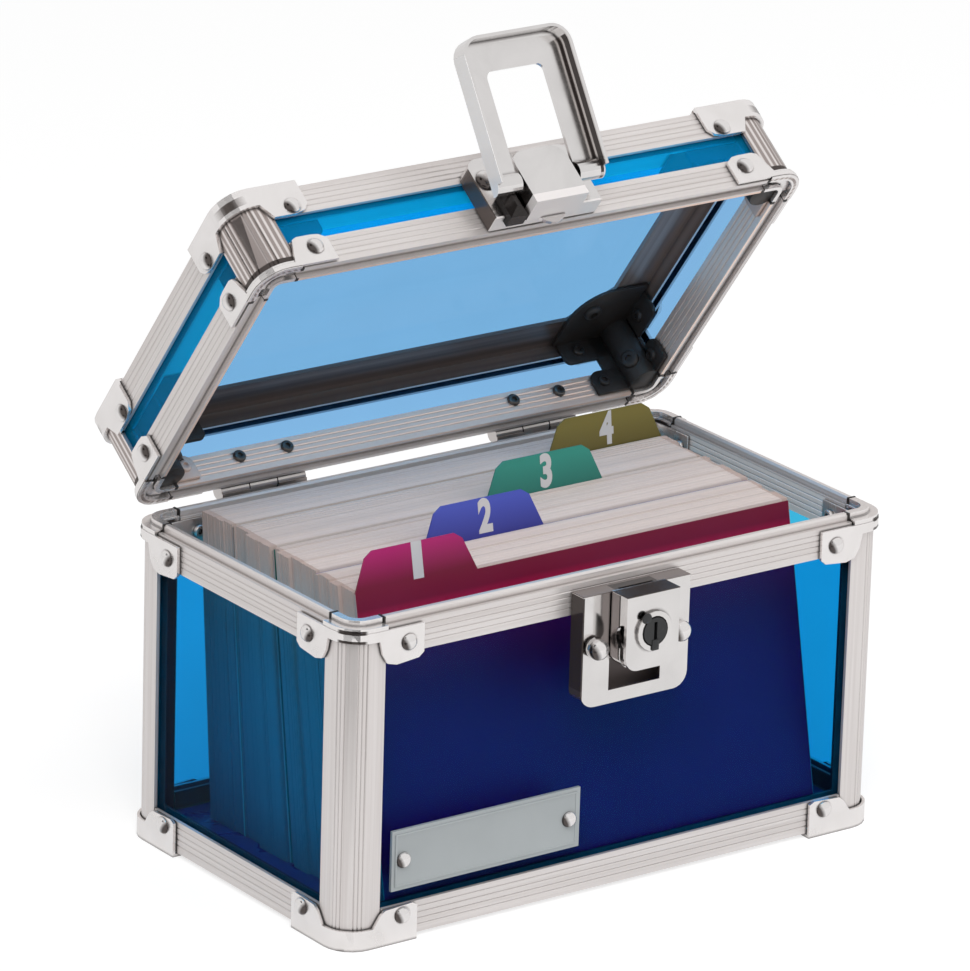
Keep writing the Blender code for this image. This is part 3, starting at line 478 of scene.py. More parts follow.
def grouped(tree, group, place=None, **values):
    step = tree.nodes.new("ShaderNodeGroup")
    step.node_tree = group
    if place is not None:
        tree.links.new(place, step.inputs["Place"])
    for label, value in values.items():
        step.inputs[label].default_value = value
    return step.outputs


def bumped(tree, shader, height, strength, distance):
    bump = add_step(tree, "Bump", Strength=strength, Distance=distance, Height=height)
    tree.links.new(bump.outputs["Normal"], shader.inputs["Normal"])


def surfaced(tree, shader, color, rough, metal=0.0):
    feed(tree, shader.inputs["Base Color"], color)
    feed(tree, shader.inputs["Roughness"], rough)
    feed(tree, shader.inputs["Metallic"], metal)


def dimmed(color, share):
    return tuple(share * c for c in color)


def crease_shaded(tree, color, reach, dark):
    """The colour with painted shade where the part meets another and in its creases."""
    return blend_colors(tree, grouped(tree, SHADE, Reach=reach)["Open"], dark, color)


# A painted tone for the walls that look inwards: how far in, between which levels, its dark and light painted
# tones and how metallic it is
Inside = namedtuple("Inside", "reach levels dark light metal")

ALUMINIUM_METAL = 0.6
# The tone of the painted shade in aluminium's creases; each finish dims it by its crease share
ALUMINIUM_CREASE_SHADE = (0.66, 0.60, 0.58)
WALL_REACH = 0.0041
RIM_LIP_TOP = 0.0885
DUST_GREY = (0.72, 0.71, 0.70)
CLEAR_IOR = 1.08


def aluminium(name, axis, lid=False, inside=None, crease=0.32, painted_warm_light=None):
    """Satin aluminium, brushed along the extrusion, with painted shade in its creases; the walls that look
    inwards may have their own tone of painted shade and light, and the low inner walls of the lid's rim a warm
    painted light against the blue light there.
    """
    finish, tree, shader, place = new_finish(name)
    if lid:
        place = shut_lid_place(tree, place)
    grain = grouped(tree, GRAIN, along(tree, place, axis), Fineness=1500.0)
    smears = grouped(tree, HANDLING, place, Size=45.0)["Smears"]
    color = blend_colors(tree, grain["Lines"], (0.68, 0.63, 0.61), (0.83, 0.785, 0.77))
    color = blend_colors(tree, product(tree, grain["Bands"], 0.35), color, (0.90, 0.86, 0.85))
    rough = maths(tree, "ADD", scaled(tree, grain["Lines"], 0.40, 0.30), product(tree, smears, 0.06))
    metal = ALUMINIUM_METAL
    # Painted shade and light on the walls that look inwards
    if inside:
        mask, axes = inner_mask(tree, place, inside.reach)
        mask = product(tree, mask, between(tree, axes, {"Z": inside.levels}))
        shade = blend_colors(tree, grain["Bands"], inside.dark, inside.light)
        color = blend_colors(tree, mask, color, shade)
        metal = scaled(tree, mask, ALUMINIUM_METAL, inside.metal)
    # Warm painted light on the low inner walls, against the blue light there
    if painted_warm_light:
        mask, axes = inner_mask(tree, place, WALL_REACH)
        mask = product(tree, mask, maths(tree, "LESS_THAN", axes["Z"], RIM_LIP_TOP))
        color = blend_colors(tree, mask, color, painted_warm_light)
    color = crease_shaded(tree, color, 0.0010, dimmed(ALUMINIUM_CREASE_SHADE, crease))
    surfaced(tree, shader, color, rough, metal)
    bumped(tree, shader, grain["Lines"], 0.25, 0.00004)
    return finish


def smeared_plate(tree, place, bright, smeared):
    """The tone of plated steel with smears and dust, and the smears themselves."""
    marks = grouped(tree, HANDLING, place, Size=70.0)
    tone = blend_colors(tree, marks["Smears"], bright, smeared)
    return blend_colors(tree, product(tree, marks["Dust"], 0.15), tone, DUST_GREY), marks["Smears"]


def chrome(name, color, rough, painted_light_patches=(), frame_of=None):
    """Bright plated sheet steel with faint smears and painted shade in its creases; a painted light patch gives
    some of its walls painted shade, a painted reflection or a painted highlight, and another shine.
    """
    finish, tree, shader, place = new_finish(name)
    tone, smears = smeared_plate(tree, place, color, dimmed(color, 0.93))
    metal = 1.0
    if painted_light_patches:
        axes = split(tree, frame_of(tree, place) if frame_of else place)
    for limits, painted_tone, painted_metal in painted_light_patches:
        mask = between(tree, axes, limits)
        tone = blend_colors(tree, mask, tone, painted_tone)
        metal = blend_values(tree, mask, metal, painted_metal)
    tone = crease_shaded(tree, tone, 0.0012, (0.07, 0.06, 0.058))
    surfaced(tree, shader, tone, scaled(tree, smears, rough, rough + 0.10), metal)
    bumped(tree, shader, noise(tree, place, 900.0, 2.0), 0.08, 0.00003)
    return finish


def rivet_steel():
    """Bright rivet heads that are dark on the side turned from the light."""
    finish, tree, shader, place = new_finish("rivet_steel")
    smears = grouped(tree, HANDLING, place, Size=120.0)["Smears"]
    away = spread(tree, attribute(tree, "turned_away"), 0.25, 0.62)
    tone = blend_colors(tree, away, (0.86, 0.83, 0.82), (0.10, 0.085, 0.08))
    tone = crease_shaded(tree, tone, 0.0009, (0.05, 0.042, 0.040))
    surfaced(tree, shader, tone, scaled(tree, smears, 0.12, 0.22), 0.85)
    return finish


def post_painted_light(tree, axes, tone, out_x, out_y, round_corner):
    """The short lid post: browner, with painted light and shade for its flutes, a darker painted reflection band
    at the middle of its round, and painted shade at its foot and where the cap's crown starts.
    """
    arm_x = maths(tree, "MAXIMUM", out_x, 0.0)
    arm_y = maths(tree, "MAXIMUM", out_y, 0.0)
    reach = maths(tree, "SQRT", maths(tree, "ADD", product(tree, arm_x, arm_x), product(tree, arm_y, arm_y)))
    on_post = product(
        tree, maths(tree, "LESS_THAN", reach, CORNER_RADIUS + 0.00012),
        maths(tree, "GREATER_THAN", reach, CORNER_RADIUS - 0.0006),
    )
    flute = maths(tree, "SINE", product(tree, round_corner, 2 * pi / 0.0017))
    painted_flutes = blend_colors(tree, spread(tree, flute, -0.2, 0.7), (0.40, 0.345, 0.325), (0.86, 0.80, 0.78))
    centre = spread(tree, size_of(tree, round_corner), 0.0008, 0.0042)
    painted_flutes = blend_colors(tree, centre, (0.36, 0.31, 0.295), painted_flutes)
    tone = blend_colors(tree, on_post, tone, painted_flutes)
    foot = product(tree, on_post, between(tree, axes, {"Z": (0.0796, 0.0828)}))
    tone = blend_colors(tree, foot, tone, (0.085, 0.070, 0.065))
    crown = product(
        tree, spread(tree, size_of(tree, round_corner), 0.0060, 0.0015),
        between(tree, axes, {"Z": (0.0985, 0.1008)}),
        maths(tree, "GREATER_THAN", reach, CORNER_RADIUS + 0.0002),
    )
    return blend_colors(tree, crown, tone, (0.16, 0.135, 0.125))


def corner_steel(name, lid):
    """Bright corner caps with painted shade in their creases: on the lid with the post's painted flutes and shade
    under them, on the box with painted dark reflection lines at the rim.
    """
    finish, tree, shader, place = new_finish(name)
    tone, smears = smeared_plate(tree, place, (0.93, 0.895, 0.885), (0.86, 0.825, 0.81))
    axes = split(tree, shut_lid_place(tree, place) if lid else place)
    out_x = maths(tree, "SUBTRACT", size_of(tree, axes["X"]), HALF_WIDTH - CORNER_RADIUS)
    out_y = maths(tree, "SUBTRACT", size_of(tree, axes["Y"]), HALF_DEPTH - CORNER_RADIUS)
    round_corner = maths(tree, "SUBTRACT", out_y, out_x)
    if lid:
        tone = post_painted_light(tree, axes, tone, out_x, out_y, round_corner)
    else:
        # Painted dark reflection lines across the round of the box's top cap
        near = spread(tree, size_of(tree, round_corner), 0.0052, 0.0042)
        for levels in ((0.0750, 0.0757), (0.0772, 0.0781)):
            dark = product(tree, near, between(tree, axes, {"Z": levels}))
            tone = blend_colors(tree, dark, tone, (0.075, 0.063, 0.058))
    tone = crease_shaded(tree, tone, 0.0011, (0.09, 0.077, 0.073))
    surfaced(tree, shader, tone, scaled(tree, smears, 0.20, 0.30), 0.82)
    bumped(tree, shader, noise(tree, place, 900.0, 2.0), 0.06, 0.00003)
    return finish


def blue_plastic(name, tint, clear_share=1.0):
    """Clear blue sheet: the light that passes takes the tint, and the shadow of a lamp is blue as well."""
    finish, tree, shader, place = new_finish(name)
    clouds = grouped(tree, SKIN, place, Fineness=240.0)["Clouds"]
    color = blend_colors(tree, clouds, tint, dimmed(tint, 0.97))
    surfaced(tree, shader, color, scaled(tree, clouds, 0.04, 0.07))
    shader.inputs["Transmission Weight"].default_value = clear_share
    shader.inputs["IOR"].default_value = CLEAR_IOR
    clear = plain_shader(tree, "BsdfTransparent", [0.35 + 0.6 * c for c in tint])
    ray = tree.nodes.new("ShaderNodeLightPath").outputs
    surface = shader.outputs["BSDF"].links[0].to_socket
    choose(tree, ray["Is Shadow Ray"], shader.outputs["BSDF"], clear, surface)
    return finish


def painted(name, color, rough, metallic=0.0, variation=0.12):
    """Moulded or painted surface with a fine skin, faint clouds and dust."""
    finish, tree, shader, place = new_finish(name)
    skin = grouped(tree, SKIN, place, Fineness=2200.0)
    marks = grouped(tree, HANDLING, place, Size=90.0)
    lighter = tuple(min(1.0, c * (1 + variation) + 0.01) for c in color)
    tone = blend_colors(tree, skin["Clouds"], color, lighter)
    tone = blend_colors(tree, product(tree, marks["Dust"], 0.10), tone, (0.5, 0.5, 0.5))
    surfaced(tree, shader, tone, scaled(tree, marks["Smears"], rough, min(1.0, rough + 0.12)), metallic)
    bumped(tree, shader, skin["Pits"], 0.1, 0.00004)
    return finish


def past_card_end(tree, axes, margin):
    """One on the left and right ends of the cards, as deep as the margin."""
    across = size_of(tree, maths(tree, "SUBTRACT", axes["X"], CARD_SHIFT))
    return maths(tree, "GREATER_THAN", across, CARD_WIDTH / 2 - margin)


def divider_finish(name, color, band, low):
    """Glossy plastic divider, darker as painted shade on the band below its tab, and behind the blue panel with a
    tone painted for the blue light there; its cut ends are pale.
    """
    finish, tree, shader, place = new_finish(name)
    skin = grouped(tree, SKIN, place, Fineness=1500.0)
    axes = split(tree, place)
    # Painted shade on the band below the tab; lower down a tone painted for the blue light behind the panel
    tone = blend_colors(tree, spread(tree, axes["Z"], 0.0795, 0.0870), band, color)
    tone = blend_colors(tree, spread(tree, axes["Z"], 0.0745, 0.0690), tone, low)
    tone = blend_colors(tree, product(tree, skin["Clouds"], 0.04), tone, dimmed(color, 0.8))
    tone = blend_colors(tree, past_card_end(tree, axes, 0.00012), tone, (0.42, 0.34, 0.33))
    surfaced(tree, shader, tone, scaled(tree, skin["Clouds"], 0.38, 0.5))
    bumped(tree, shader, skin["Pits"], 0.04, 0.00003)
    return finish


def card_stock():
    """White card, warmed as painted light against the blue light from the lid: each sheet has its own tone, the
    ends are darker and warmer as painted shade, and the part behind the blue is painted shade, darker and redder
    lower down and towards the rear.
    """
    finish, tree, shader, place = new_finish("card_stock")
    skin = grouped(tree, SKIN, place, Fineness=2600.0)
    # Warm white: painted light against the blue light from the lid; sheet_tone also carries painted shade from
    # card_packs
    color = blend_colors(tree, attribute(tree, "sheet_tone"), (0.46, 0.385, 0.36), (0.75, 0.665, 0.635))
    color = blend_colors(tree, product(tree, skin["Pits"], 0.08), color, (0.95, 0.92, 0.90))
    axes = split(tree, place)
    # Painted shade on the sheet ends
    end = product(tree, past_card_end(tree, axes, 0.0015), 0.80)
    color = blend_colors(tree, end, color, (0.52, 0.400, 0.360))
    # Painted shade behind the blue panel, darker and redder lower down and towards the rear
    deep = product(
        tree, spread(tree, axes["Z"], 0.071, 0.062), spread(tree, axes["Z"], 0.004, 0.072, 0.92, 0.40),
        spread(tree, axes["Y"], -0.045, 0.030, 0.45, 1.0),
    )
    color = blend_colors(tree, deep, color, (0.42, 0.085, 0.13))
    surfaced(tree, shader, color, scaled(tree, skin["Clouds"], 0.75, 0.9))
    bumped(tree, shader, skin["Pits"], 0.15, 0.00003)
    return finish


# Tones of the walls that look inwards: painted shade low in the box and inside the lid's rear and right top
# rails, painted light, warmed against the blue light, on the box's rim and the lid's front and left ledges
LID_ABOVE = (0.0912, 1.0)
IN_BOX = Inside(0.0022, (-1.0, 0.0690), (0.020, 0.016, 0.030), (0.05, 0.045, 0.07), ALUMINIUM_METAL)
IN_RIM = Inside(WALL_REACH, (0.0690, 0.0778), (0.92, 0.84, 0.79), (0.98, 0.92, 0.88), 0.15)
LEDGE_PAINTED_LIGHT = Inside(WALL_REACH, (0.0930, 1.0), (0.88, 0.88, 0.88), (0.95, 0.95, 0.95), 0.0)
IN_LID_REAR = Inside(WALL_REACH, LID_ABOVE, (0.095, 0.074, 0.066), (0.20, 0.162, 0.150), ALUMINIUM_METAL)
IN_LID_RIGHT = Inside(WALL_REACH, LID_ABOVE, (0.24, 0.185, 0.165), (0.42, 0.345, 0.315), ALUMINIUM_METAL)
ALUMINIUM_ACROSS = aluminium("aluminium_across", "X", inside=IN_BOX)
ALUMINIUM_DEEP = aluminium("aluminium_deep", "Y", inside=IN_BOX)
ALUMINIUM_UP = aluminium("aluminium_up", "Z", inside=IN_BOX)
RIM_ACROSS = aluminium("rim_aluminium_across", "X", inside=IN_RIM, crease=0.60)
RIM_DEEP = aluminium("rim_aluminium_deep", "Y", inside=IN_RIM, crease=0.60)
LID_ACROSS = aluminium("lid_aluminium_across", "X", lid=True, crease=0.55, painted_warm_light=(0.97, 0.73, 0.61))
LID_DEEP = aluminium("lid_aluminium_deep", "Y", lid=True, crease=0.40, painted_warm_light=(1.0, 0.80, 0.69))
LID_TOP_RAILS = {
    "front": aluminium("lid_front_top_rail", "X", lid=True, inside=LEDGE_PAINTED_LIGHT, crease=0.62),
    "left": aluminium("lid_left_top_rail", "Y", lid=True, inside=LEDGE_PAINTED_LIGHT, crease=0.50),
    "rear": aluminium("lid_rear_top_rail", "X", lid=True, inside=IN_LID_REAR),
    "right": aluminium("lid_right_top_rail", "Y", lid=True, inside=IN_LID_RIGHT),
}

# Each painted light patch: the limits of the place, the painted tone and how metallic it is
PLATED = (0.80, 0.775, 0.765)
BRIGHT_PLATED = (0.84, 0.815, 0.805)
BASE_LEFT = (-0.0157, -0.0152)
BASE_TOP = (0.07635, 0.0768)
STEP_FRONT = (-0.0530, -0.0515)
HOUSING_LEFT = (-0.0078, -0.0074)
HOUSING_HEIGHT = (0.0600, 0.0766)
LOOP_RIGHT = (0.0142, 0.0151)
# Lock base: painted dark reflections on the step, the top and the left wall, and painted shade in the slot in its
# top
LOCK_STEEL = chrome("lock_steel", PLATED, 0.10, (
    ({"X": (-0.0112, -0.0097), "Y": STEP_FRONT, "Z": (0.0650, 0.0764)}, (0.36, 0.32, 0.31), 1.0),
    ({"X": (-0.0097, -0.0092), "Y": STEP_FRONT, "Z": (0.0610, 0.0764)}, (0.06, 0.05, 0.048), 1.0),
    ({"Z": BASE_TOP}, (0.22, 0.188, 0.180), 0.4),
    ({"X": (-0.0062, 0.0062), "Y": (-0.0496, -0.0463), "Z": BASE_TOP}, (0.035, 0.028, 0.026), 0.2),
    ({"X": BASE_LEFT, "Z": (0.0530, 0.0762)}, (0.060, 0.048, 0.044), 0.3),
    ({"X": BASE_LEFT, "Z": (0.0480, 0.0530)}, (0.11, 0.09, 0.084), 0.4),
))
# Lock housing: painted shade along its top edge and painted dark reflections on its left wall
HOUSING_STEEL = chrome("lock_housing_steel", PLATED, 0.10, (
    ({"Y": (-0.0568, -0.0508), "Z": (0.0767, 0.0772)}, (0.075, 0.060, 0.056), 0.4),
    ({"X": HOUSING_LEFT, "Y": (-0.0533, -0.0500), "Z": HOUSING_HEIGHT}, (0.30, 0.265, 0.255), 0.9),
    ({"X": HOUSING_LEFT, "Y": (-0.0538, -0.0533), "Z": HOUSING_HEIGHT}, (0.05, 0.042, 0.040), 0.9),
))
# Latch base: a painted bright reflection on its low band and a painted dark reflection on its left wall
LATCH_STEEL = chrome("latch_steel", BRIGHT_PLATED, 0.14, (
    ({"Z": (0.0770, 0.07985)}, (0.84, 0.80, 0.79), 0.1),
    ({"X": (-0.0156, -0.0150), "Z": (0.0795, 0.0960)}, (0.12, 0.098, 0.090), 0.5),
), shut_lid_place)
# Hasp loop: a painted highlight on its left edge and painted reflection bands on its right flange
LOOP_STEEL = chrome("loop_steel", BRIGHT_PLATED, 0.14, (
    ({"X": (-0.0157, -0.01535)}, (0.88, 0.86, 0.85), 0.1),
    ({"X": LOOP_RIGHT, "Y": (-0.0545, -0.0536)}, (0.20, 0.17, 0.16), 0.8),
    ({"X": LOOP_RIGHT, "Y": (-0.0536, -0.0528)}, (0.62, 0.58, 0.56), 0.8),
    ({"X": LOOP_RIGHT, "Y": (-0.0528, -0.0508)}, (0.060, 0.050, 0.047), 0.6),
), shut_hasp_place)
BRACKET_STEEL = chrome("bracket_steel", (0.90, 0.865, 0.85), 0.24)
HINGE_STEEL = chrome("hinge_steel", (0.62, 0.585, 0.57), 0.28)
BOX_CORNER_STEEL = corner_steel("box_corner_steel", False)
LID_CORNER_STEEL = corner_steel("lid_corner_steel", True)
RIVET_STEEL = rivet_steel()
BOX_BLUE = blue_plastic("box_blue", (0.060, 0.57, 0.89))
OUTER_STRIP_BLUE = blue_plastic("outer_strip_blue", (0.006, 0.56, 0.98), clear_share=0.84)
INNER_STRIP_BLUE = blue_plastic("inner_strip_blue", (0.27, 0.57, 0.93))
LID_BLUE = blue_plastic("lid_top_blue", (0.235, 0.55, 0.91))
PLATE_GREY = painted("name_plate_grey", (0.43, 0.46, 0.47), 0.42, metallic=0.35, variation=0.05)
# The bottom panel: opaque dark navy, painted shade in place of the clear blue
SHADED_BOTTOM_NAVY = painted("bottom_navy_painted_shade", (0.050, 0.022, 0.110), 0.25, variation=0.5)
# Black: the dark joints of the rim seams, and painted shade on the lid's brackets and its rear right ears
BLACK = painted("black_joints_and_bracket_shade", (0.020, 0.017, 0.016), 0.42, metallic=0.2, variation=0.6)
# Painted shade: the dark sheet behind the lock's window
WINDOW_SHADE = painted("window_painted_shade", (0.13, 0.105, 0.10), 0.45, metallic=0.1)
# Grey warmed as painted light against the blue light on the lid's ears
EAR_GREY = painted("ear_grey", (0.66, 0.53, 0.47), 0.34, metallic=0.25, variation=0.08)
BLOCK_BLACK = painted("latch_block_black", (0.022, 0.018, 0.017), 0.16, metallic=0.5, variation=0.3)
BLACK_PLUG = painted("black_plug", (0.012, 0.012, 0.013), 0.30)
SCREW = painted("screw_steel", (0.10, 0.095, 0.09), 0.28, metallic=0.9)
INK = painted("numeral_ink", (0.56, 0.55, 0.56), 0.5, variation=0.05)
CARD_STOCK = card_stock()

# Each divider's tone on its tab, its painted shade on the band below it, and its tone painted for the blue light
# behind the blue panel
TAB_COLORS = {
    "magenta": ((0.40, 0.004, 0.130), (0.165, 0.002, 0.026), (0.66, 0.002, 0.078)),
    "blue": ((0.060, 0.085, 0.46), (0.030, 0.035, 0.25), (0.03, 0.04, 0.26)),
    "green": ((0.025, 0.25, 0.195), (0.015, 0.15, 0.12), (0.02, 0.16, 0.13)),
    "olive": ((0.18, 0.145, 0.026), (0.11, 0.088, 0.018), (0.12, 0.10, 0.02)),
}


# The CAD's own parts

def dress(name, finish):
    for slot in nodes[name].material_slots:
        slot.material = finish


def soften(name, width):
    """Breaks the edges of a CAD node with live modifiers."""
    weld = nodes[name].modifiers.new("weld", "WELD")
    weld.merge_threshold = 0.000002
    bevel = nodes[name].modifiers.new("soften", "BEVEL")
    bevel.width = width
    bevel.segments = 2
    bevel.limit_method = "ANGLE"
    bevel.angle_limit = radians(40)


def dress_nodes():
    for corner in CORNERS:
        dress(f"post_{corner}", ALUMINIUM_UP)
        for kind in ("foot_cap", "top_cap", "lid_corner"):
            dress(f"{kind}_{corner}", LID_CORNER_STEEL if kind == "lid_corner" else BOX_CORNER_STEEL)
            soften(f"{kind}_{corner}", 0.00018)
    for side in SIDES:
        across = side in ("front", "rear")
        dress(f"bottom_rail_{side}", ALUMINIUM_ACROSS if across else ALUMINIUM_DEEP)
        dress(f"rim_rail_{side}", RIM_ACROSS if across else RIM_DEEP)
        dress(f"lid_rim_rail_{side}", LID_ACROSS if across else LID_DEEP)
        dress(f"lid_top_rail_{side}", LID_TOP_RAILS[side])
        dress(f"panel_{side}", BOX_BLUE)
        dress(f"lid_strip_{side}", OUTER_STRIP_BLUE if side in ("front", "left") else INNER_STRIP_BLUE)
    for name, finish in (
        ("panel_bottom", SHADED_BOTTOM_NAVY), ("lid_top_panel", LID_BLUE), ("name_plate", PLATE_GREY),
        ("key_plug", BLACK_PLUG),
    ):
        dress(name, finish)
    for name, finish, width in (
        ("lock_base", LOCK_STEEL, 0.00025), ("lock_housing", HOUSING_STEEL, 0.00035),
        ("latch_base", LATCH_STEEL, 0.00025), ("hasp_loop", LOOP_STEEL, 0.00025),
    ):
        dress(name, finish)
        soften(name, width)
    for hand in ("left", "right"):
        dress(f"hinge_box_leaf_{hand}", HINGE_STEEL)
        dress(f"hinge_lid_leaf_{hand}", HINGE_STEEL)
    for i, (name, tones) in enumerate(TAB_COLORS.items()):
        dress(f"divider_{i + 1}", divider_finish(f"tab_{name}", *tones))


# Cards

def station(share):
    """The foot and the lean of what stands at a share of the stack's length."""
    return STACK_FRONT + STACK_LENGTH * share, LEAN_FRONT + (LEAN_REAR - LEAN_FRONT) * share


def card_sheet(name, foot, lean, thick, jitter):
    """One card or a few that stick together: a sheet with its own lean, slight bow, height and side shift."""
    side, rise, bow, tone = jitter
    sheet = slab(name, (-CARD_WIDTH / 2, 0, 0), (CARD_WIDTH / 2, thick, CARD_HEIGHT + rise))
    pick(sheet, "FACE", lambda face: True)
    for x in BOW_ENDS:
        bpy.ops.mesh.select_all(action="SELECT")
        bpy.ops.mesh.bisect(plane_co=(x, 0, 0), plane_no=(1, 0, 0))
    close(sheet)
    for corner in sheet.data.vertices:
        if abs(corner.co.x) < CARD_WIDTH / 2 - 0.001:
            corner.co.y += bow
    sheet.data.transform(leaning(side, foot, lean))
    layer = sheet.data.attributes.new("sheet_tone", "FLOAT", "POINT")
    for value in layer.data:
        value.value = tone
    return sheet


def card_packs():
    """The four packs, each of a few dozen sheets with uneven edges."""
    random.seed(7)
    ends = DIVIDER_SHARES[1:] + (1.0,)
    for i, (share, next_share) in enumerate(zip(DIVIDER_SHARES, ends)):
        start = station(share)[0] + DIVIDER_THICK + PACK_GAP
        stop = station(next_share)[0] - PACK_GAP
        count = round((stop - start) / SHEET_PITCH)
        step = (stop - start) / count
        sheets = []
        group_left = 0
        for j in range(count):
            group_starts = group_left == 0
            if group_starts:
                group_left = random.randint(7, 16)
                group_side = random.uniform(-0.0009, 0.0004)
                group_rise = random.uniform(-0.0002, 0.0003)
            group_left -= 1
            at = (j + 0.2) / count
            foot = start + step * (j + 0.12)
            lean = station(share)[1] + (station(next_share)[1] - station(share)[1]) * at
            thick = step * (0.72 if group_starts else 0.96)
            side = group_side + random.uniform(-0.00010, 0.00010)
            rise = 0.0004 + group_rise + random.uniform(-0.00006, 0.00006)
            bow = random.uniform(-0.02, 0.03) * step
            # The first sheet of a group, thinner, is darker as painted shade in the gap; each pack is darker
            # towards its rear, and the rear packs more so
            darker_rearward = 1.0 - 0.40 * at * (i + 1) / 4
            tone = random.uniform(0.78, 1.0) * (0.62 if group_starts else 1.0) * darker_rearward
            sheets.append(card_sheet(f"sheet_{i}_{j}", foot, lean, thick, (side, rise, bow, tone)))
        pack = joined(sheets, f"card_sheets_{i + 1}")
        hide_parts(f"card_pack_{i + 1}")
        finished(pack, CARD_STOCK, "box")


def tab_numerals():
    """Printed numerals 1 to 4 on the tabs, a hair proud of them; the 1 is widened and the others are narrowed."""
    pitch = (CARD_WIDTH - TAB_FOOT_WIDTH) / 3
    for i, (color, share) in enumerate(zip(TAB_COLORS, DIVIDER_SHARES)):
        deselect()
        bpy.ops.object.text_add(location=(0, 0, 0))
        text = bpy.context.object
        text.data.body = str(i + 1)
        text.data.align_x = text.data.align_y = "CENTER"
        text.data.size = NUMERAL_SIZE
        text.data.offset = 0.00075 if i == 0 else 0.00048
        text.data.extrude = 0.00002
        text.data.resolution_u = 6
        select_only(text)
        bpy.ops.object.convert(target="MESH")
        numeral = settle(bpy.context.object, f"numeral_{i + 1}")
        squeeze = Matrix.Diagonal((1.15 if i == 0 else 0.72, 1.0, 1.0, 1.0))
        stand = Matrix.Rotation(pi / 2, 4, "X")
        left = -CARD_WIDTH / 2 + i * pitch + TAB_FOOT_WIDTH * 0.52
        up = Matrix.Translation((left, -0.00004, CARD_HEIGHT + TAB_HEIGHT * 0.50))
        numeral.data.transform(leaning(0, *station(share)) @ up @ stand @ squeeze)
        finished(numeral, INK, "box")


# Screws and brackets

def button_screw(name, radius, height, socket):
    """A button head with a socket, its foot on the origin and its head along +Z."""
    screw = rod(name, (0, 0, -SCREW_SINK), (0, 0, height), radius, 24)
    pick(screw, "FACE", lambda face: face.normal.z > 0.9)
    bpy.ops.mesh.bevel(offset=height * 0.55, segments=3, affect="EDGES")
    close(screw)
    pick(screw, "FACE", lambda face: face.normal.z > 0.99 and face.calc_center_median().z > height * 0.9)
    bpy.ops.mesh.inset(thickness=max(radius - height * 0.55 - socket, 0.0001), depth=0)
    bpy.ops.mesh.extrude_region_move(TRANSFORM_OT_translate={"value": (0, 0, -height * 0.6)})
    return smoothed(close(screw), 35)


SMALL_SCREW = button_screw("small_screw", 0.0016, 0.0009, 0.0007)
BIG_SCREW = button_screw("big_screw", 0.0023, 0.0013, 0.0009)
FORWARD = (0, -1, 0)
LEFTWARD = (-1, 0, 0)


def screw(at, out, pattern=SMALL_SCREW, name="screw"):
    return copied(pattern, name, facing(at, out))


def lid_rim_ears(start):
    """The two ears of a lid bracket on the rim rails, with their screws; the rear one begins at start."""
    rear_face = LID_IN_Y - PLATE_THICK
    right_face = LID_IN_X - PLATE_THICK
    rear_ear = rounded_plate(
        "rear_rim_ear", (start, rear_face, 0.0801), (LID_IN_X - 0.002, LID_IN_Y, 0.0868), 0.0028, upper=True
    )
    right_ear = rounded_plate(
        "right_rim_ear", (right_face, 0.0280, 0.0801), (LID_IN_X, LID_IN_Y - 0.002, 0.0872), 0.0028, upper=True
    )
    return joined([
        round_off(rear_ear), round_off(right_ear), screw((start + 0.0031, rear_face, 0.0835), FORWARD),
        screw((right_face, 0.0318, 0.0838), LEFTWARD),
    ], "lid_rim_ears")


def lid_bracket(with_column):
    """The bracket in the lid's rear right corner, which gets black painted shade; the others are its mirror
    images.
    """
    rear_face = LID_IN_Y - PLATE_THICK
    right_face = LID_IN_X - PLATE_THICK
    rear_end = (LID_IN_X - 0.002, LID_IN_Y, 0.0974)
    right_end = (LID_IN_X, LID_IN_Y - 0.002, 0.0974)
    parts = [
        slab("rear_wall_strip", (0.0626, rear_face, 0.0840), rear_end),
        rounded_plate("rear_top_ear", (0.0535, rear_face, 0.0902), rear_end, 0.0018),
        slab("right_wall_strip", (right_face, 0.0330, 0.0840), right_end),
        rounded_plate("right_top_ear", (right_face, 0.0226, 0.0902), right_end, 0.0018),
        rounded_plate(
            "gusset", (0.0525, 0.0196, 0.0963), (LID_IN_X - 0.0004, LID_IN_Y - 0.0004, 0.0972), 0.0105,
            segments=8,
        ),
    ]
    screws = [
        ((0.0584, 0.0267, 0.0963), (0, 0, -1), BIG_SCREW),
        ((0.0584, rear_face, 0.0935), FORWARD, SMALL_SCREW),
        ((right_face, 0.0286, 0.0938), LEFTWARD, SMALL_SCREW),
    ]
    if with_column:
        parts.append(rod("corner_column", (0.0705, 0.0375, 0.0800), (0.0705, 0.0375, 0.0968), 0.0042, 32))
        screws.append(((0.0676, 0.0346, 0.0853), (-1, -1, 0), BIG_SCREW))
    for part in parts:
        round_off(part)
    return joined(parts + [screw(*row) for row in screws], "lid_bracket")


def lid_brackets():
    for corner, (x, y) in CORNERS.items():
        bracket = mirrored(lid_bracket(corner != "front_left"), f"lid_bracket_{corner}", x, y)
        # The lid's brackets get black painted shade
        finished(bracket, BLACK, "lid")
        ears = lid_rim_ears(0.0605 if corner == "rear_left" else 0.0575)
        ears = mirrored(ears, f"lid_rim_ears_{corner}", x, y)
        # The rear right ears get black painted shade, the others the warmed grey
        finish, slot = (BLACK, "hinge_steel") if corner == "rear_right" else (EAR_GREY, "steel")
        finished(ears, finish, "lid")


def hinge_screws():
    """Two button screws at each hinge, on the inside of the lid's rear rim rail."""
    for hand, centre in (("left", -0.0405), ("right", 0.0405)):
        for place, offset in (("outer", -0.0069), ("inner", 0.0069)):
            at = (centre + offset, LID_IN_Y, 0.0838)
            head = screw(at, FORWARD, name=f"hinge_screw_{hand}_{place}")
            finished(head, SCREW, "lid")


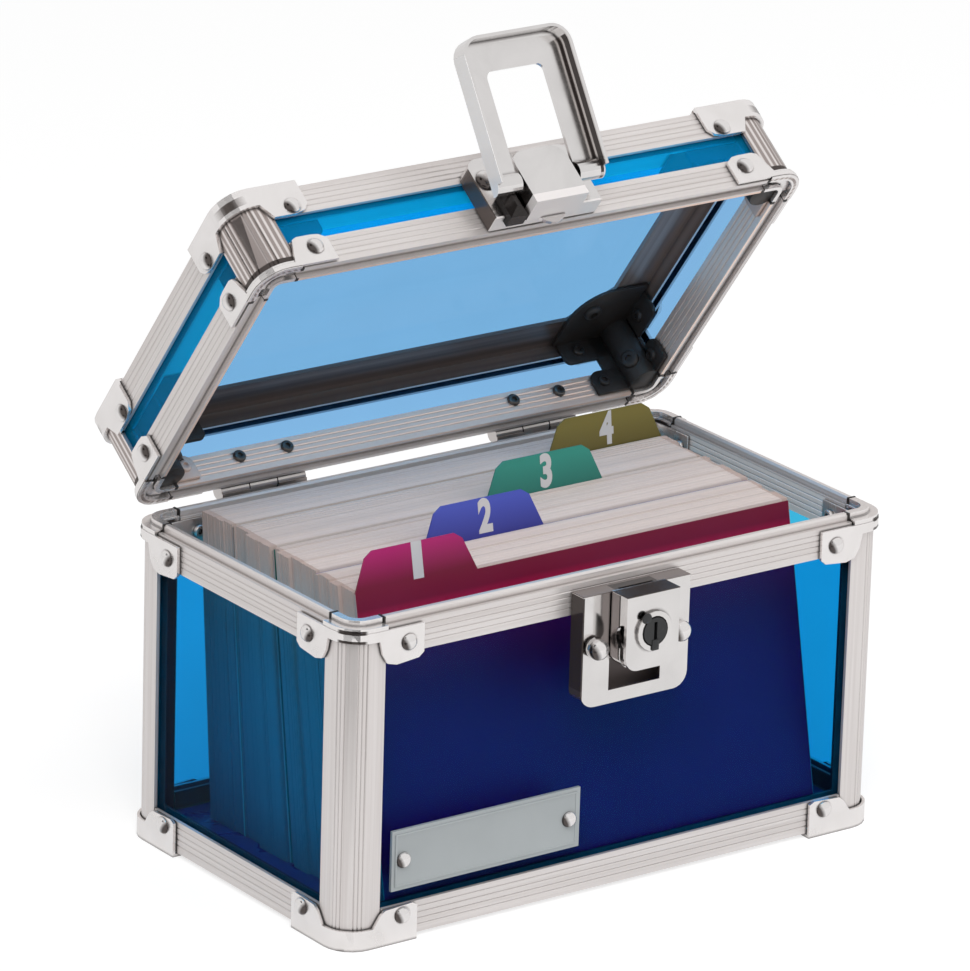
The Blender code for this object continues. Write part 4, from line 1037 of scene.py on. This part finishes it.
def rim_brackets():
    """Bright tabs with a screw on the inside of the box's rim rails, two at each corner."""
    side_face = BOX_IN_X - RIM_TAB_THICK
    end_face = BOX_IN_Y - RIM_TAB_THICK
    for corner, (x, y) in CORNERS.items():
        parts = [
            round_off(rounded_plate("tab", low, (BOX_IN_X, BOX_IN_Y, 0.0775), 0.0025), 0.00015)
            for low in ((side_face, 0.0270, 0.0700), (0.0600, end_face, 0.0700))
        ]
        screws = [screw((side_face, 0.0300, 0.0742), LEFTWARD), screw((0.0630, end_face, 0.0742), FORWARD)]
        bracket = joined(parts + screws, "rim_bracket")
        finished(mirrored(bracket, f"rim_bracket_{corner}", x, y), BRACKET_STEEL, "box")


def dome_head(name, at, out, size, dark_side=-1):
    """A flattened ball sunk to its middle, facing out; its size is its radius and its height."""
    radius, height = size
    deselect()
    flat = (1, 1, height / radius)
    bpy.ops.mesh.primitive_uv_sphere_add(segments=28, ring_count=14, radius=radius, scale=flat)
    head = settle(bpy.context.object, name)
    # Painted shade: turned_away grows towards the side of the head that rivet_steel paints dark
    side = head.data.attributes.new("turned_away", "FLOAT", "POINT")
    for value, corner in zip(side.data, head.data.vertices):
        value.value = (dark_side * 0.85 * corner.co.x - 0.35 * corner.co.y) / radius
    pick(head, "FACE", lambda face: True)
    bpy.ops.mesh.bisect(plane_co=(0, 0, -height * 0.2), plane_no=(0, 0, 1), use_fill=True, clear_inner=True)
    smoothed(close(head), 50)
    head.data.transform(facing(at, out))
    return head


def cap_rivet_heads(levels, name):
    """Smooth heads over the rivets of the corner caps, two on each cap."""
    heads = []
    for x, y in CORNERS.values():
        for level in levels:
            across = (x * (HALF_WIDTH - RIVET_INSET), y * (HALF_DEPTH + CAP_FACE), level)
            deep = (x * (HALF_WIDTH + CAP_FACE), y * (HALF_DEPTH - RIVET_INSET), level)
            heads.append(dome_head("rivet_head", across, (0, y, 0), CAP_RIVET))
            heads.append(dome_head("rivet_head", deep, (x, 0, 0), CAP_RIVET, dark_side=1))
    return joined(heads, name)


def all_rivet_heads():
    finished(cap_rivet_heads((0.0058, 0.0736), "box_rivet_heads"), RIVET_STEEL, "box")
    finished(cap_rivet_heads((0.0836, 0.0956), "lid_rivet_heads"), RIVET_STEEL, "lid")
    for hand, x in (("left", -0.0120), ("right", 0.0120)):
        head = dome_head(f"lock_rivet_head_{hand}", (x, -0.0519, 0.0635), FORWARD, LOCK_RIVET)
        finished(head, RIVET_STEEL, "box")
        head = dome_head(f"latch_rivet_head_{hand}", (x, -0.0500, 0.0903), FORWARD, LATCH_RIVET)
        finished(head, RIVET_STEEL, "lid")


def plate_details():
    """A shallow raised border round the bare name plate, and its bright rivets."""
    low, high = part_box("name_plate")
    margin = Vector((0.0009, 0, 0.0009))
    border_low = Vector((low.x, PLATE_FRONT - 0.0003, low.z)) + margin
    border_high = Vector((high.x, PLATE_FRONT, high.z)) - margin
    border = slab("plate_border", border_low, border_high)
    pick(border, "FACE", lambda face: face.normal.y < -0.9)
    bpy.ops.mesh.inset(thickness=0.0005, depth=0)
    bpy.ops.mesh.extrude_region_move(TRANSFORM_OT_translate={"value": (0, 0.00022, 0)})
    finished(round_off(close(border), 0.0001), PLATE_GREY, "box")
    level = (low.z + high.z) / 2
    for hand, x in (("left", low.x + 0.0032), ("right", high.x - 0.0032)):
        head = dome_head(f"plate_rivet_{hand}", (x, PLATE_FRONT - 0.0002, level), FORWARD, PLATE_RIVET)
        finished(head, RIVET_STEEL, "box")


def lock_details():
    """A dark sheet behind the lock's window as painted shade, the plug's guide and stop, and the block at the
    loop's foot.
    """
    window_shade_sheet = slab("lock_window_shade", (-0.0140, -0.0454, 0.0500), (0.0140, -0.0451, 0.0740))
    finished(round_off(window_shade_sheet, 0.0001), WINDOW_SHADE, "box")
    guide = slab("plug_guide", (-0.0010, -0.05785, 0.0629), (0.0010, -0.05735, 0.0656))
    finished(round_off(guide), BLACK_PLUG, "plug")
    stop = rod("plug_stop", (-0.0026, -0.0573, 0.0712), (-0.0026, -0.0578, 0.0712), 0.0013)
    finished(round_off(stop), BLACK_PLUG, "plug")
    block = slab("latch_block", (-0.0128, -0.0539, 0.0776), (-0.0079, -0.0486, 0.0845))
    bevelled(block, lambda edge: middle(edge).y < -0.0534, 0.0019, 1)
    finished(block, BLOCK_BLACK, "lid")


# The dark joints at one corner, each from its low to its high point
BOX_SEAMS = (
    ((0.0674, 0.0414, 0.0779), (0.0680, 0.0438, 0.07998)),
    ((0.0744, 0.0344, 0.0779), (0.0768, 0.0350, 0.07998)),
)
LID_SEAMS = (
    ((0.0672, 0.0440, 0.0789), (0.0681, 0.04506, 0.0806)),
    ((0.0672, 0.0401, 0.0789), (0.0681, 0.0412, 0.0806)),
    ((0.0770, 0.0342, 0.0789), (0.07806, 0.0351, 0.0806)),
    ((0.0731, 0.0342, 0.0789), (0.0742, 0.0351, 0.0806)),
)


def rim_seams(seams, name):
    """Dark joints where the rim rails meet the bright corners."""
    parts = []
    for x, y in ((-1, -1), (-1, 1), (1, -1), (1, 1)):
        for low, high in seams:
            parts.append(mirrored(round_off(slab("seam", low, high), 0.00008, 1), "seam_image", x, y))
    return joined(parts, name)


dress_nodes()
card_packs()
tab_numerals()
lid_brackets()
hinge_screws()
rim_brackets()
plate_details()
all_rivet_heads()
lock_details()
finished(rim_seams(BOX_SEAMS, "box_rim_seams"), BLACK, "box")
finished(rim_seams(LID_SEAMS, "lid_rim_seams"), BLACK, "lid")
bpy.data.objects.remove(SMALL_SCREW)
bpy.data.objects.remove(BIG_SCREW)


# Floor, light and camera

def watched_share(tree, ray):
    """One for the rays that end in the picture: from the camera, mirrored or seen through the plastic."""
    seen = maths(tree, "MAXIMUM", ray["Is Camera Ray"], ray["Is Glossy Ray"])
    return maths(tree, "MAXIMUM", seen, ray["Is Transmission Ray"])


def floor_finish():
    """Pale floor that is white to the camera and keeps the object's shadow."""
    finish, tree, surface = bare_finish("studio_floor")
    plain = plain_shader(tree, "BsdfDiffuse", (0.80, 0.80, 0.80))
    soft = plain_shader(tree, "BsdfDiffuse", (0.42, 0.42, 0.42))
    ray = tree.nodes.new("ShaderNodeLightPath").outputs
    glow = add_step(tree, "Emission", Strength=scaled(tree, ray["Is Glossy Ray"], 0.70, 0.50))
    seen = tree.nodes.new("ShaderNodeAddShader")
    tree.links.new(soft, seen.inputs[0])
    tree.links.new(glow.outputs["Emission"], seen.inputs[1])
    choose(tree, watched_share(tree, ray), plain, seen.outputs["Shader"], surface)
    return finish


def flag_card(name, level):
    card, tree, surface = bare_finish(name)
    tree.links.new(plain_shader(tree, "BsdfDiffuse", (level, 0.93 * level, 0.90 * level)), surface)
    return card


def flags():
    """Black and grey cards beside the set that only bright metal reflects."""
    black = flag_card("flag_black", 0.02)
    grey = flag_card("flag_grey", 0.80)
    for name, card, place, out, size in (
        ("flag_front_left", black, (-0.34, -0.24, FLOOR_LEVEL + 0.0006), (0, 0, 1), (0.34, 0.26)),
        ("flag_above_left", black, (-0.85, 0.02, 0.95), (0.7, 0, -0.7), (0.55, 0.50)),
        ("flag_behind", grey, (0.95, 1.25, 0.56), (-0.558, -0.76, -0.25), (1.1, 0.42)),
    ):
        deselect()
        turn = Vector(out).to_track_quat("Z", "Y").to_euler()
        bpy.ops.mesh.primitive_plane_add(size=1.0, location=place, rotation=turn)
        flag = bpy.context.object
        flag.name = name
        flag.scale = (*size, 1)
        flag.data.materials.append(card)
        flag.visible_camera = False
        flag.visible_diffuse = False
        flag.visible_transmission = False
        flag.visible_shadow = False


def sky():
    world = bpy.data.worlds.new("studio")
    bpy.context.scene.world = world
    world.use_nodes = True
    tree = world.node_tree
    tree.nodes.clear()
    way_out = tree.nodes.new("ShaderNodeOutputWorld")
    watched = watched_share(tree, tree.nodes.new("ShaderNodeLightPath").outputs)
    glow = add_step(tree, "Background", Strength=scaled(tree, watched, 0.50, 1.0))
    tree.links.new(glow.outputs["Background"], way_out.inputs["Surface"])


def studio():
    deselect()
    bpy.ops.mesh.primitive_plane_add(size=7.0, location=(0, 0, FLOOR_LEVEL))
    floor = bpy.context.object
    floor.name = "studio_floor"
    floor.data.materials.append(floor_finish())
    sky()
    for name, place, aim, size, power in (
        ("key_lamp", (-0.9, -1.1, 1.5), (0, 0, 0.06), 0.9, 15.0),
        ("fill_lamp", (1.4, -1.0, 0.8), (0, 0, 0.08), 1.1, 6.0),
        ("top_lamp", (-0.1, -0.6, 1.7), (0, 0, 0.05), 1.0, 7.0),
    ):
        lamp = bpy.data.lights.new(name, "AREA")
        lamp.size = size
        lamp.energy = power
        holder = bpy.data.objects.new(name, lamp)
        bpy.context.scene.collection.objects.link(holder)
        holder.location = place
        holder.rotation_euler = (Vector(aim) - Vector(place)).to_track_quat("-Z", "Y").to_euler()
        holder.visible_glossy = False
    flags()


def product_camera():
    """The photograph's viewpoint: a long lens from the front left, a little above."""
    lens = bpy.data.cameras.new("product_view")
    lens.sensor_fit = "HORIZONTAL"
    lens.sensor_width = 36.0
    lens.lens = 268.77
    lens.clip_start = 0.05
    lens.clip_end = 20.0
    right = Vector((0.81158, -0.58356, 0.02809))
    down = Vector((-0.17245, -0.28521, -0.94283))
    ahead = Vector((0.55821, 0.76034, -0.33210))
    place = Matrix((right, -down, -ahead)).transposed().to_4x4()
    place.translation = (-0.96799, -1.30720, 0.65867)
    holder = bpy.data.objects.new("product_view", lens)
    bpy.context.scene.collection.objects.link(holder)
    holder.matrix_world = place
    bpy.context.scene.camera = holder


studio()
product_camera()
bpy.context.scene.view_settings.view_transform = "Standard"

bpy.context.view_layer.update()
